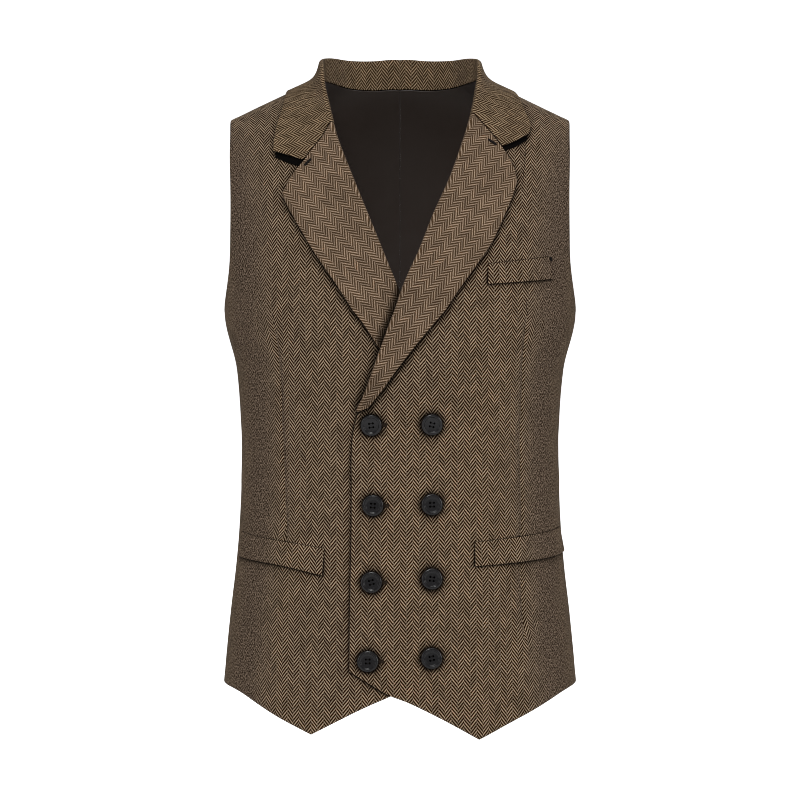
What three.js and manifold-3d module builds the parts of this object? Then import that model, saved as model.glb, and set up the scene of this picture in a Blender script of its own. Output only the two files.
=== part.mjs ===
import * as THREE from 'three';
import { mergeVertices } from 'three/addons/utils/BufferGeometryUtils.js';
import Module from 'manifold-3d';

// Suit waistcoat, double breasted, in its worn, hollow form. Millimetres.
// X runs to the wearer's left, Y to the wearer's back, Z up. The origin is between the
// shoulders: on the centre plane, level with the neck points of the shoulder seams.

// Cloth and seams
const cloth = 2; // wall of every piece: tweed, canvas and lining pressed together
const seamGap = 0.3; // between two pieces that are sewn edge to edge
const shoulderGap = 1; // along the body between a front and a back at the shoulder seam
const gorgeGap = 0.7; // between the collar and a lapel at the gorge seam
const gorgeRollGap = 1.2; // and where that seam goes over the roll
const neckGap = 0.6; // between a neck edge and the collar or lapel folded round it
const restGap = 0.45; // under a piece that lies on a panel
const buttonGap = 0.5; // under a button, over the middle of its place
const lapGap = 0.5; // between the two fronts where they lap

// The left front lies out over the right front and over the end of its lapel. It comes
// down to the body again beyond the right front's edge, and above the V.
const lap = { step: cloth + lapGap, rampStart: 9, rampEnd: 62 };
const lapelLap = { step: 3.6, rampStart: 6, rampEnd: 60, below: 32, full: 5 };
const lapTop = { start: 10, end: 100 };

// Worn body
const ringPower = 2.4; // squareness of its level rings
const archPower = 2.4; // squareness of its curve from the chest over the shoulder
const chestZ = -227; // underarm level, where the rings end and the arch over the shoulder starts
const archRise = 270; // length given to that arch, from the underarm level to the shoulder seam
const crestY = 5; // the shoulder seams lie here
const neckX = 76.5; // half width between the neck points
const shoulderSlope = 0.49;
const neckRound = 35; // how widely the shoulder line rounds off towards the neck
const shoulderSpread = 182; // half width that the body spreads to at the shoulders
const reach = 150; // one radian round the body counts as this length where lengths are shared out

// Half width and centre depths of the body at each level, to the outside of the cloth
const levels = [
  { z: chestZ, halfWidth: 170, front: 121, back: 112 },
  { z: -283, halfWidth: 158.2, front: 116.5, back: 103 },
  { z: -356, halfWidth: 153.3, front: 110, back: 93 },
  { z: -435, halfWidth: 155.6, front: 110, back: 96 },
  { z: -502, halfWidth: 161.8, front: 112.5, back: 105 },
  { z: -585, halfWidth: 170.3, front: 116.5, back: 116 },
  { z: -645, halfWidth: 176, front: 119, back: 122 },
];

// Outlines of the fronts as seen from the front: x across, z up
const sideSeam = 98; // degrees round from the centre front
const shoulderTip = 59.4; // degrees round at the shoulder seam's outer end
const breakZ = -357; // a lapel's roll has ended at this level and the plain front edge starts
const vZ = -212; // the two roll lines cross at this level

// Front edge from the hem up: plain, then rolled, then the neck edge up to the shoulder seam
const leftEdge = [
  { x: -47.5, z: -567 },
  { x: -46.9, z: -500 },
  { x: -45.4, z: -410 },
  { x: -45.2, z: breakZ },
  { x: -42.8, z: -337 },
  { x: -37.6, z: -320 },
  { x: -32, z: -309 },
  { x: -16.3, z: -265 },
  { x: 2.7, z: vZ },
  { x: 20.4, z: -171 },
  { x: 32.1, z: -141 },
  { x: 49.2, z: -102.5 },
  { x: 62.4, z: -64.7 },
  { x: 69.1, z: -41.3 },
  { x: 74.2, z: -15 },
];
const rightEdge = [
  { x: 47.5, z: -560 },
  { x: 46.9, z: -500 },
  { x: 45.4, z: -410 },
  { x: 45.2, z: breakZ },
  { x: 41, z: -334 },
  { x: 32.5, z: -309 },
  { x: 16.3, z: -265 },
  { x: -2.4, z: vZ },
  { x: -13, z: -185.5 },
  { x: -31, z: -141 },
  { x: -47.6, z: -100 },
  { x: -60.8, z: -65.7 },
  { x: -65.8, z: -46 },
  { x: -73.2, z: -15 },
];

// Hems, from the front edge to the point and from the point to the side
const leftHem = [
  { x: -47.5, z: -567 },
  { x: -10.6, z: -589 },
  { x: 7.5, z: -596 },
  { x: 40, z: -612 },
  { x: 74.2, z: -631 },
];
const leftSkirt = [
  { x: 74.2, z: -631 },
  { x: 112.3, z: -612 },
  { x: 152.7, z: -591 },
  { x: 167.5, z: -585 },
];
const rightHem = [
  { x: 47.5, z: -560 },
  { x: 10, z: -581 },
  { x: -7.5, z: -589.5 },
  { x: -34.7, z: -601.5 },
  { x: -83.8, z: -626.5 },
];
const rightSkirt = [
  { x: -83.8, z: -626.5 },
  { x: -106.9, z: -615.5 },
  { x: -150.4, z: -591 },
  { x: -167.5, z: -585 },
];
const sideHemZ = -585;
const backHemZ = -590;

// Armholes, from the side seam up: degrees round from the centre front, and height
const armholeFront = [
  { round: sideSeam, z: -229 },
  { round: 88, z: -226 },
  { round: 77, z: -212 },
  { round: 69, z: -185 },
  { round: 66, z: -150 },
  { round: 63.5, z: -110 },
  { round: 62, z: -80 },
  { round: 60.5, z: -58 },
];
const armholeBack = [
  { round: sideSeam, z: -229 },
  { round: 107, z: -224 },
  { round: 114, z: -207 },
  { round: 118, z: -180 },
  { round: 119.5, z: -140 },
  { round: 120, z: -90 },
  { round: 120.5, z: -58 },
];

// Neck edge behind the shoulder seam, and the collar's outer edge there, in plan
const backNeck = [
  { x: 71.5, y: 28 },
  { x: 52, y: 52 },
  { x: 27, y: 63 },
  { x: 0, y: 66 },
];
const collarBack = [
  { x: 108, y: 5 },
  { x: 104, y: 29 },
  { x: 88, y: 52 },
  { x: 62, y: 67 },
  { x: 32, y: 74 },
  { x: 0, y: 76 },
];

// Gorge seams, from the roll to the notch, with the free edges that go on from the notch
const leftGorge = {
  rollZ: -43,
  seam: [{ x: 80.7, z: -54.5 }, { x: 89, z: -64 }, { x: 96, z: -73.5 }],
  collarEnd: [{ x: 109, z: -68 }, { x: 121, z: -61.6 }],
  lapelTop: [{ x: 102.2, z: -84 }, { x: 107.4, z: -96 }, { x: 109.2, z: -108 }],
};
const rightGorge = {
  rollZ: -51,
  seam: [{ x: -75.2, z: -66.5 }, { x: -82.8, z: -76 }, { x: -90, z: -87 }],
  collarEnd: [{ x: -104, z: -82.5 }, { x: -118.6, z: -78.5 }],
  lapelTop: [{ x: -96.5, z: -95 }, { x: -102.5, z: -104.5 }, { x: -109.7, z: -119.4 }],
};

// Collar's outer edge in front of the shoulder seam, from the corner up
const leftCollarEdge = [{ x: 121, z: -61.6 }, { x: 123, z: -53 }, { x: 119.3, z: -38 }];
const rightCollarEdge = [{ x: -118.6, z: -78.5 }, { x: -117.3, z: -56 }, { x: -112.6, z: -34 }];

// Lapels' outer edges, from the tip down. The right one ends under the left front.
const leftLapelEdge = [
  { x: 109.2, z: -108 },
  { x: 106.5, z: -118 },
  { x: 98.3, z: -137.7 },
  { x: 85.2, z: -166 },
  { x: 72.2, z: -185 },
  { x: 46.4, z: -222 },
  { x: 13.9, z: -261 },
  { x: -18.6, z: -305 },
  { x: -29.5, z: -319 },
];
const rightLapelEdge = [
  { x: -109.7, z: -119.4 },
  { x: -106.5, z: -128 },
  { x: -82, z: -171.3 },
  { x: -59.6, z: -204.3 },
  { x: -37.2, z: -237 },
  { x: -18.6, z: -264 },
  { x: 2, z: -284 },
];
const leftLapelEndZ = -323; // of the roll, where the narrow end of the lapel stops
const rightLapelEndZ = -289;
const rollHeight = 5; // of a lapel's fold above its front
const rollReach = 8; // the fold's extra height dies away over this width
const lapelLift = 0.8; // a lapel's outer edge stands this much further off its front

// Folds get lower down a lapel, between these shares of its length
const leftRollEnd = { height: 3.8, start: 0.6, end: 1 };
const rightRollEnd = { height: 2.7, start: 0.4, end: 0.62 }; // where the left front covers it

// Collar. Shares run from its front ends (0) to the centre back (1).
const collarSide = { height: 16, share: 0.34 }; // height of its fold by the neck points
const collarBackHeight = 28.5; // of its fold over the centre back of the neck edge
const collarBackShare = 0.3; // where its fold starts to rise to that
const collarReach = 4; // its fall swings out from the stand over this width
const collarRest = 0.2; // added under its outer edge
const collarLift = { height: 4, share: 0.16 }; // its front corners stand further off the fronts

// Pocket welts: lower edge, sewn down, and upper edge
const chestWelt = {
  lower: [{ x: 82.2, z: -203.2 }, { x: 112, z: -200.8 }, { x: 144.3, z: -197.1 }],
  upper: [{ x: 82.8, z: -184.1 }, { x: 112, z: -180.5 }, { x: 141.5, z: -176 }],
};
const rightWelt = {
  lower: [{ x: -72.8, z: -477.3 }, { x: -112.2, z: -468.6 }, { x: -153.9, z: -461.3 }],
  upper: [{ x: -71.3, z: -451.8 }, { x: -107, z: -446.3 }, { x: -151.4, z: -437.7 }],
};
const leftWelt = {
  lower: [{ x: 69.9, z: -468.6 }, { x: 105.6, z: -466 }, { x: 156.4, z: -457.5 }],
  upper: [{ x: 69.9, z: -445.9 }, { x: 97.9, z: -443.2 }, { x: 153.6, z: -433.2 }],
};

// Buttons
const button = { radius: 10.1, height: 3.4, rimWidth: 1.7, slope: 1.2, dish: 0.7, round: 0.8, sides: 24 };
const buttonHoles = { radius: 0.95, circleRadius: 2.5, sides: 6 };
const buttonRows = [
  { outerX: -26.7, outerZ: -335.5, innerX: 29.7, innerZ: -334.9 },
  { outerX: -25.2, outerZ: -411.2, innerX: 29.7, innerZ: -410.3 },
  { outerX: -26.6, outerZ: -483.3, innerX: 29.7, innerZ: -480.1 },
  { outerX: -29.9, outerZ: -557.2, innerX: 29.4, innerZ: -554.4 },
];

// How finely the walls are divided
const columns = { hem: 7, skirt: 9, backNeck: 8, backShoulder: 5 };
const rows = { below: 9, lap: 7, neck: 11 };
const collarRows = 34;
const lapelRows = 16;
const weltSteps = { along: 8, up: 3 };
const foldShares = [0, 0.06, 0.16, 0.3, 0.45, 0.6, 0.75, 0.88, 1]; // across a folded piece
const fold = { turns: [180, 135, 90, 45, 0], standShare: 0.45, leafSteps: 6, leafCrowding: 1.6 };
const passes = 30; // of each search for a place

// How closely the columns of a sheet keep to straight lines between its edges
const pull = { front: 3, back: 2, lapel: 3, collar: 5 };

const clamp = (value) => Math.min(Math.max(value, 0), 1);
const ease = (value, start, end) => {
  const t = clamp((value - start) / (end - start));
  return t * t * (3 - 2 * t);
};
const power = (value, exponent) => Math.abs(value) ** exponent;
const radians = THREE.MathUtils.degToRad;

// One column of the levels table, eased through its rows with no slope at the underarm
function sizeAt(column, z) {
  const height = THREE.MathUtils.clamp(z, levels.at(-1).z, chestZ);
  const next = Math.max(levels.findIndex((level) => level.z <= height), 1);
  const slope = (i) => {
    if (i === 0) return 0;
    const above = levels[i - 1];
    const below = levels[Math.min(i + 1, levels.length - 1)];
    return (below[column] - above[column]) / (below.z - above.z);
  };
  const [a, b] = [levels[next - 1], levels[next]];
  const span = b.z - a.z;
  const t = (height - a.z) / span;
  const rest = 1 - t;
  const start = a[column] * (1 + 2 * t) + slope(next - 1) * span * t;
  const end = b[column] * (3 - 2 * t) - slope(next) * span * rest;
  return start * rest * rest + end * t * t;
}

// Height of the shoulder line at a distance from the centre plane
function shoulderZ(x) {
  return shoulderSlope * (Math.hypot(neckX, neckRound) - Math.hypot(x, neckRound));
}

// A level ring of the body, for half width and depths of 1
function ring(angle) {
  const [s, c] = [Math.sin(angle), Math.cos(angle)];
  const size = (power(s, ringPower) + power(c, ringPower)) ** (-1 / ringPower);
  return { across: s * size, ahead: c * size };
}

// The angle at which a ring of this half width reaches x
function angleAt(x, halfWidth) {
  const share = Math.min(Math.abs(x) / halfWidth, 1);
  if (share < 1e-6) return 0;
  return Math.sign(x) * Math.atan2(1, (share ** -ringPower - 1) ** (1 / ringPower));
}

// A place on the body: x is the way round it from the centre front, y the rise from the
// underarm level. Past the shoulder seam the rise goes on down the back.
const place = (angle, rise) => new THREE.Vector3(angle * reach, rise, 0);

function surfacePoint(at) {
  const overShoulder = at.y > archRise;
  const angle = overShoulder ? Math.PI - at.x / reach : at.x / reach;
  const rise = overShoulder ? 2 * archRise - at.y : at.y;
  const { across, ahead } = ring(angle);
  const z = chestZ + Math.min(rise, 0);
  const depth = sizeAt(ahead > 0 ? 'front' : 'back', z);
  if (rise <= 0) return new THREE.Vector3(sizeAt('halfWidth', z) * across, -depth * ahead, z);
  const turn = (rise / archRise) * (Math.PI / 2);
  const size = (power(Math.cos(turn), archPower) + power(Math.sin(turn), archPower)) ** (-1 / archPower);
  const up = Math.sin(turn) * size;
  const halfWidth = THREE.MathUtils.lerp(levels[0].halfWidth, shoulderSpread, up * up);
  const top = shoulderZ(shoulderSpread * across);
  return new THREE.Vector3(
    halfWidth * across,
    crestY + (-depth * ahead - crestY) * Math.cos(turn) * size,
    chestZ + (top - chestZ) * up,
  );
}

function outward(at) {
  const step = 0.2;
  const shift = (x, y) => surfacePoint(new THREE.Vector3(at.x + x, at.y + y, 0));
  const round = shift(step, 0).sub(shift(-step, 0));
  return round.cross(shift(0, step).sub(shift(0, -step))).normalize();
}

const bodyPoint = (at, out) => surfacePoint(at).addScaledVector(outward(at), out);

// The rise at which the body's line up from this angle reaches a height
function riseAt(angle, z) {
  if (z <= chestZ) return z - chestZ;
  const top = shoulderZ(shoulderSpread * ring(angle).across);
  const up = Math.min((z - chestZ) / (top - chestZ), 1);
  const over = (1 - up ** archPower) ** (1 / archPower);
  return (Math.atan2(up, over) / (Math.PI / 2)) * archRise;
}

const roundPlace = ({ round, z }) => place(radians(round), riseAt(radians(round), z));

// The place that is seen at x, z from the front
function frontPlace({ x, z }) {
  let angle = angleAt(x, sizeAt('halfWidth', z));
  for (let pass = 0; z > chestZ && pass < passes; pass++) {
    const up = clamp((z - chestZ) / (shoulderZ(shoulderSpread * ring(angle).across) - chestZ));
    angle = angleAt(x, THREE.MathUtils.lerp(levels[0].halfWidth, shoulderSpread, up * up));
  }
  return place(angle, riseAt(angle, z));
}

// The place behind the shoulder seam that is seen at x, y from above
function planPlace({ x, y }) {
  let angle = angleAt(x, shoulderSpread);
  let turn = 0;
  for (let pass = 0; pass < passes; pass++) {
    const over = clamp((y - crestY) / (levels[0].back * ring(angle).ahead - crestY));
    const up = (1 - over ** archPower) ** (1 / archPower);
    angle = angleAt(x, THREE.MathUtils.lerp(levels[0].halfWidth, shoulderSpread, up * up));
    turn = Math.atan2(up, over) / (Math.PI / 2);
  }
  return place(angle, (2 - turn) * archRise);
}

const mirrored = (at) => new THREE.Vector3(-at.x, at.y, 0);
const neckPoint = (side) => place(side * angleAt(neckX, shoulderSpread), archRise);
const pathThrough = (places) => new THREE.CatmullRomCurve3(places, false, 'centripetal');

function bisect(isBelow, from, to) {
  let [low, high] = [from, to];
  for (let pass = 0; pass < passes; pass++) {
    const middle = (low + high) / 2;
    if (isBelow(middle)) low = middle;
    else high = middle;
  }
  return low;
}

// How far along a path the rise reaches a value, as a share of its length
const shareAtRise = (path, rise) => bisect((share) => path.getPointAt(share).y < rise, 0, 1);

function samples(path, steps, from = 0, to = 1) {
  const shares = Array.from({ length: steps + 1 }, (_, i) => THREE.MathUtils.lerp(from, to, i / steps));
  return shares.map((share) => path.getPointAt(share));
}

// A sheet of places between two edges, drawn onto its end lines where they bend
function sheetBetween(inner, outer, startLine, endLine, shares, closeness) {
  const last = inner.length - 1;
  const straight = (i, share) => inner[i].clone().lerp(outer[i], share);
  return inner.map((_, i) => shares.map((share, j) => {
    const at = straight(i, share);
    at.addScaledVector(startLine[j].clone().sub(straight(0, share)), (1 - i / last) ** closeness);
    return at.addScaledVector(endLine[j].clone().sub(straight(last, share)), (i / last) ** closeness);
  }));
}

// A closed wall between two grids of points, one outside the other
function wallGeometry(outer, inner) {
  const [high, wide] = [outer.length, outer[0].length];
  const points = [...outer.flat(), ...inner.flat()];
  const faces = [];
  const quad = (a, b, c, d) => faces.push(a, b, c, a, c, d);
  const front = (i, j) => i * wide + j;
  const back = (i, j) => high * wide + i * wide + j;
  for (let i = 0; i < high - 1; i++) {
    for (let j = 0; j < wide - 1; j++) {
      quad(front(i, j), front(i, j + 1), front(i + 1, j + 1), front(i + 1, j));
      quad(back(i, j), back(i + 1, j), back(i + 1, j + 1), back(i, j + 1));
    }
    quad(front(i, 0), front(i + 1, 0), back(i + 1, 0), back(i, 0));
    quad(front(i, wide - 1), back(i, wide - 1), back(i + 1, wide - 1), front(i + 1, wide - 1));
  }
  for (let j = 0; j < wide - 1; j++) {
    quad(front(0, j), back(0, j), back(0, j + 1), front(0, j + 1));
    quad(front(high - 1, j), front(high - 1, j + 1), back(high - 1, j + 1), back(high - 1, j));
  }
  const volume = faces.reduce((sum, _, i) => {
    if (i % 3) return sum;
    const [a, b, c] = [points[faces[i]], points[faces[i + 1]], points[faces[i + 2]]];
    return sum + a.dot(b.clone().cross(c));
  }, 0);
  if (volume < 0) faces.reverse();
  const geometry = new THREE.BufferGeometry().setFromPoints(points);
  geometry.setIndex(faces);
  return geometry;
}

const tweed = { color: 0x6b543c, roughness: 0.95, metalness: 0 };
const horn = { color: 0x1c1b1c, roughness: 0.55, metalness: 0 };
const waistcoat = new THREE.Group();

function addPiece(name, geometry, look) {
  geometry.computeVertexNormals();
  const mesh = new THREE.Mesh(geometry, new THREE.MeshStandardMaterial(look));
  mesh.name = name;
  waistcoat.add(mesh);
  return mesh;
}

// One path for each front edge, on over the shoulder seam to the centre back of the neck.
// Its rolled parts carry the lapels and the collar.
function edgePath(edge, side) {
  const back = backNeck.map(planPlace);
  return pathThrough([...edge.map(frontPlace), neckPoint(side), ...(side > 0 ? back : back.map(mirrored))]);
}
const leftEdgePath = edgePath(leftEdge, 1);
const rightEdgePath = edgePath(rightEdge, -1);
const breakRise = breakZ - chestZ;
const vRise = riseAt(0, vZ);

// X of the right front's edge at a height, on its hidden stretch
function rightEdgeX(z) {
  const below = rightEdge.findIndex((point) => point.z > z);
  if (below < 0) return rightEdge.at(-1).x;
  if (below === 0) return rightEdge[0].x;
  const [a, b] = [rightEdge[below - 1], rightEdge[below]];
  return THREE.MathUtils.mapLinear(z, a.z, b.z, a.x, b.x);
}

const onBody = () => 0;

// How far the left front stands out from the body over what it covers
function lapLift(at) {
  const { x, z } = surfacePoint(at);
  const past = x - rightEdgeX(z);
  const overFront = lap.step * (1 - ease(past, lap.rampStart, lap.rampEnd));
  const overLapel = lapelLap.step * (1 - ease(past, lapelLap.rampStart, lapelLap.rampEnd));
  const besideLapel = ease(z, rightLapelEndZ - lapelLap.below, rightLapelEndZ - lapelLap.full);
  return (overFront + overLapel * besideLapel) * (1 - ease(z, vZ + lapTop.start, vZ + lapTop.end));
}

// Fronts, up from the hem at the side seam and round the armhole
function sideColumn() {
  const angle = radians(sideSeam) - seamGap / 2 / reach;
  const edge = armholeFront.map(roundPlace);
  edge[0] = place(angle, edge[0].y);
  return [place(angle, sideHemZ - chestZ), ...edge];
}

function frontGeometry(side, path, hem, skirt, lift) {
  const [toBreak, toV, toSeam] = [breakRise, vRise, archRise].map((rise) => shareAtRise(path, rise));
  const edge = [
    ...samples(path, rows.below, 0, toBreak),
    ...samples(path, rows.lap, toBreak, toV).slice(1),
    ...samples(path, rows.neck, toV, toSeam).slice(1),
  ];
  const column = sideColumn();
  const tip = place(radians(shoulderTip), archRise);
  const armhole = pathThrough([...column.slice(1), tip]);
  const seam = new THREE.LineCurve3(column[0], column[1]);
  const seamBreak = (breakRise - column[0].y) / (column[1].y - column[0].y);
  const outerSide = [
    ...samples(seam, rows.below, 0, seamBreak),
    ...samples(seam, rows.lap, seamBreak, 1).slice(1),
    ...samples(armhole, rows.neck).slice(1),
  ];
  const outer = side > 0 ? outerSide : outerSide.map(mirrored);
  const hemLine = [
    ...samples(pathThrough(hem.map(frontPlace)), columns.hem),
    ...samples(pathThrough([...skirt.map(frontPlace), outer[0]]), columns.skirt).slice(1),
  ];
  const shares = hemLine.map((_, i) => i / (hemLine.length - 1));
  const [neck, end] = [edge.at(-1), outer.at(-1)];
  const shoulder = shares.map((share) => neck.clone().lerp(end, share));
  const grid = sheetBetween(edge, outer, hemLine, shoulder, shares, pull.front);
  grid.at(-1).forEach((at) => at.setY(archRise - shoulderGap / 2));
  const skin = (inset) => grid.map((row) => row.map((at) => bodyPoint(at, lift(at) - inset)));
  return wallGeometry(skin(0), skin(cloth));
}

addPiece('front_left', frontGeometry(1, leftEdgePath, leftHem, leftSkirt, lapLift), tweed);
addPiece('front_right', frontGeometry(-1, rightEdgePath, rightHem, rightSkirt, onBody), tweed);

// Backs, joined down the centre
function backGeometry(side) {
  const angle = radians(sideSeam) + seamGap / 2 / reach;
  const centre = Math.PI - seamGap / 2 / reach;
  const toBack = (at) => place(Math.PI - at.x / reach, 2 * archRise - at.y);
  const neckEnd = planPlace({ x: 0, y: backNeck.at(-1).y });
  const neckRise = 2 * archRise - neckEnd.y;
  const sideTop = roundPlace(armholeBack[0]).setX(angle * reach);
  const bottom = place(angle, sideHemZ - chestZ);
  const armhole = pathThrough([
    sideTop,
    ...armholeBack.slice(1).map(roundPlace),
    place(Math.PI - radians(shoulderTip), archRise),
  ]);
  const seam = new THREE.LineCurve3(bottom, sideTop);
  const seamBreak = (breakRise - bottom.y) / (sideTop.y - bottom.y);
  const outer = [
    ...samples(seam, rows.below, 0, seamBreak),
    ...samples(seam, rows.lap, seamBreak, 1).slice(1),
    ...samples(armhole, rows.neck).slice(1),
  ];
  const centreLine = new THREE.LineCurve3(place(centre, backHemZ - chestZ), place(centre, neckRise));
  const inner = samples(centreLine, outer.length - 1);
  const acrossBack = columns.backNeck + columns.backShoulder;
  const hemLine = samples(new THREE.LineCurve3(inner[0], outer[0]), acrossBack);
  const neck = samples(leftEdgePath, columns.backNeck, 1, shareAtRise(leftEdgePath, archRise)).map(toBack);
  neck[0].setX(centre * reach);
  const tip = place(Math.PI - radians(shoulderTip), archRise);
  const top = [...neck, ...samples(new THREE.LineCurve3(neck.at(-1), tip), columns.backShoulder).slice(1)];
  const shares = top.map((_, i) => i / (top.length - 1));
  const grid = sheetBetween(inner, outer, hemLine, top, shares, pull.back);
  grid.at(-1).forEach((at) => at.setY(Math.min(at.y, archRise - shoulderGap / 2)));
  const skin = (inset) => grid.map((row) => row.map((at) => bodyPoint(at, -inset)));
  const flip = (points) => points.map((row) => row.map((point) => point.setX(point.x * side)));
  return wallGeometry(flip(skin(0)), flip(skin(cloth)));
}

addPiece('back_left', backGeometry(1), tweed);
addPiece('back_right', backGeometry(-1), tweed);

// Section of a piece folded round a neck edge: across from the edge, and height over the panel.
// It climbs beside the edge, turns over and comes down to rest on the panel.
function foldSection(height, width, dieAway, rest) {
  const stand = neckGap + cloth / 2;
  const leaf = restGap + cloth / 2;
  const turnRadius = (stand + leaf) / 2;
  const turnRise = Math.min(turnRadius, Math.max(height - cloth / 2 - leaf, 0.2));
  const turnHeight = height - cloth / 2 - turnRise;
  const standHeight = THREE.MathUtils.lerp(-cloth, turnHeight, fold.standShare);
  const line = [new THREE.Vector2(-stand, -cloth), new THREE.Vector2(-stand, standHeight)];
  for (const turn of fold.turns) {
    const angle = radians(turn);
    const across = (leaf - stand) / 2 + turnRadius * Math.cos(angle);
    line.push(new THREE.Vector2(across, turnHeight + turnRise * Math.sin(angle)));
  }
  for (let step = 1; step <= fold.leafSteps; step++) {
    const out = (width - leaf) * (step / fold.leafSteps) ** fold.leafCrowding;
    const extra = Math.max(turnHeight - leaf, 0) * Math.exp(-out / dieAway);
    line.push(new THREE.Vector2(leaf + out, leaf + extra + rest * (out / (width - leaf)) ** 2));
  }
  return line;
}

// The two faces of a section, half a cloth to each side of its middle line
function sectionFaces(line) {
  const normals = line.map((point, i) => {
    const along = line[Math.min(i + 1, line.length - 1)].clone().sub(line[Math.max(i - 1, 0)]);
    return new THREE.Vector2(-along.y, along.x).normalize();
  });
  const face = (out) => line.map((point, i) => point.clone().addScaledVector(normals[i], out));
  return [face(cloth / 2), face(-cloth / 2)];
}

// A folded piece over a sheet of places whose first column follows the neck edge
function foldedGeometry(sheet, shares, { lift, height, dieAway, rest, upright }) {
  const faces = [[], []];
  sheet.forEach((row, i) => {
    const along = i / (sheet.length - 1);
    const surface = row.map((at) => bodyPoint(at, lift(at)));
    const width = surface[0].distanceTo(surface.at(-1));
    const [before, after] = [sheet[Math.max(i - 1, 0)][0], sheet[Math.min(i + 1, sheet.length - 1)][0]];
    const edge = surfacePoint(after).sub(surfacePoint(before));
    const away = edge.cross(outward(row[0])).normalize();
    if (away.dot(surface[1].clone().sub(surface[0])) < 0) away.negate();
    const up = outward(row[0]).lerp(new THREE.Vector3(0, 0, 1), upright(along)).normalize();
    const rowPath = pathThrough(row);
    const section = sectionFaces(foldSection(height(along), width, dieAway(along), rest(along)));
    section.forEach((line, face) => {
      faces[face].push(line.map(({ x, y }) => {
        const at = rowPath.getPoint(shareOfRow(clamp(x / width), shares));
        const point = bodyPoint(at, lift(at)).addScaledVector(away, Math.min(x, 0));
        return point.addScaledVector(y > 0 ? up : outward(row[0]), y);
      }));
    });
  });
  return wallGeometry(faces[0], faces[1]);
}

// A row's curve passes its columns at even steps, whatever their shares of the width
function shareOfRow(share, shares) {
  const next = Math.max(shares.findIndex((value) => value >= share), 1);
  const part = (share - shares[next - 1]) / (shares[next] - shares[next - 1]);
  return (next - 1 + part) / (shares.length - 1);
}

// Shares along an end line, so that a corner in it falls on a column
function lineSamples(seam, free) {
  const [first, second] = [pathThrough(seam), pathThrough(free)];
  const corner = first.getLength() / (first.getLength() + second.getLength());
  return foldShares.map((share) => (share <= corner
    ? first.getPointAt(share / corner)
    : second.getPointAt((share - corner) / (1 - corner))));
}

const lowered = ({ x, z }, drop) => ({ x, z: z - drop });

// The rise at which a gorge seam meets its roll line
function gorgeRise(path, { rollZ }) {
  const isBelow = (share) => surfacePoint(path.getPointAt(share)).z < rollZ;
  return path.getPointAt(bisect(isBelow, 0, shareAtRise(path, archRise))).y;
}

// Lapels
function lapelGeometry(path, gorge, edge, endZ, drape) {
  const start = shareAtRise(path, gorgeRise(path, gorge) - gorgeRollGap / 2);
  const stop = shareAtRise(path, endZ - chestZ);
  const inner = samples(path, lapelRows, start, stop);
  const outer = samples(pathThrough(edge.map(frontPlace)), lapelRows);
  const seam = [inner[0], ...gorge.seam.map((point) => frontPlace(lowered(point, gorgeGap / 2)))];
  const free = [seam.at(-1), ...gorge.lapelTop.map(frontPlace)];
  const endLine = foldShares.map((share) => inner.at(-1).clone().lerp(outer.at(-1), share));
  const sheet = sheetBetween(inner, outer, lineSamples(seam, free), endLine, foldShares, pull.lapel);
  return foldedGeometry(sheet, foldShares, drape);
}

const lapelDrape = (lift, { height, start, end }) => ({
  lift,
  height: (along) => THREE.MathUtils.lerp(rollHeight, height, ease(along, start, end)),
  dieAway: () => rollReach,
  rest: () => lapelLift,
  upright: () => 0,
});
const leftDrape = lapelDrape(lapLift, leftRollEnd);
const rightDrape = lapelDrape(onBody, rightRollEnd);
const leftLapel = lapelGeometry(leftEdgePath, leftGorge, leftLapelEdge, leftLapelEndZ, leftDrape);
const rightLapel = lapelGeometry(rightEdgePath, rightGorge, rightLapelEdge, rightLapelEndZ, rightDrape);
addPiece('lapel_left', leftLapel, tweed);
addPiece('lapel_right', rightLapel, tweed);

// Collar, from the right gorge round the back of the neck to the left gorge
function collarGeometry() {
  const half = (path, gorge, side, edge) => {
    const start = shareAtRise(path, gorgeRise(path, gorge) + gorgeRollGap / 2);
    const behind = collarBack.map(planPlace);
    const outer = [...edge.map(frontPlace), ...(side > 0 ? behind : behind.map(mirrored))];
    const inner = samples(path, collarRows / 2, start, 1);
    return {
      inner,
      outer: samples(pathThrough(outer), collarRows / 2),
      seam: [inner[0], ...gorge.seam.map((point) => frontPlace(lowered(point, -gorgeGap / 2)))],
      free: gorge.collarEnd.map(frontPlace),
    };
  };
  const right = half(rightEdgePath, rightGorge, -1, rightCollarEdge);
  const left = half(leftEdgePath, leftGorge, 1, leftCollarEdge);
  const join = (name) => [...right[name], ...left[name].slice(0, -1).reverse()];
  const [inner, outer] = [join('inner'), join('outer')];
  const endLine = ({ seam, free }) => lineSamples(seam, [seam.at(-1), ...free]);
  const sheet = sheetBetween(inner, outer, endLine(right), endLine(left), foldShares, pull.collar);
  const fromEnd = (along) => 1 - Math.abs(2 * along - 1);
  const beside = (along) => ease(fromEnd(along), 0, collarSide.share);
  const height = (along) => {
    const side = THREE.MathUtils.lerp(rollHeight, collarSide.height, beside(along));
    return THREE.MathUtils.lerp(side, collarBackHeight, ease(fromEnd(along), collarBackShare, 1));
  };
  return foldedGeometry(sheet, foldShares, {
    lift: onBody,
    height,
    dieAway: (along) => THREE.MathUtils.lerp(rollReach, collarReach, beside(along)),
    rest: (along) => collarRest + collarLift.height * (1 - ease(fromEnd(along), 0, collarLift.share)),
    upright: beside,
  });
}

addPiece('collar', collarGeometry(), tweed);

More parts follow.
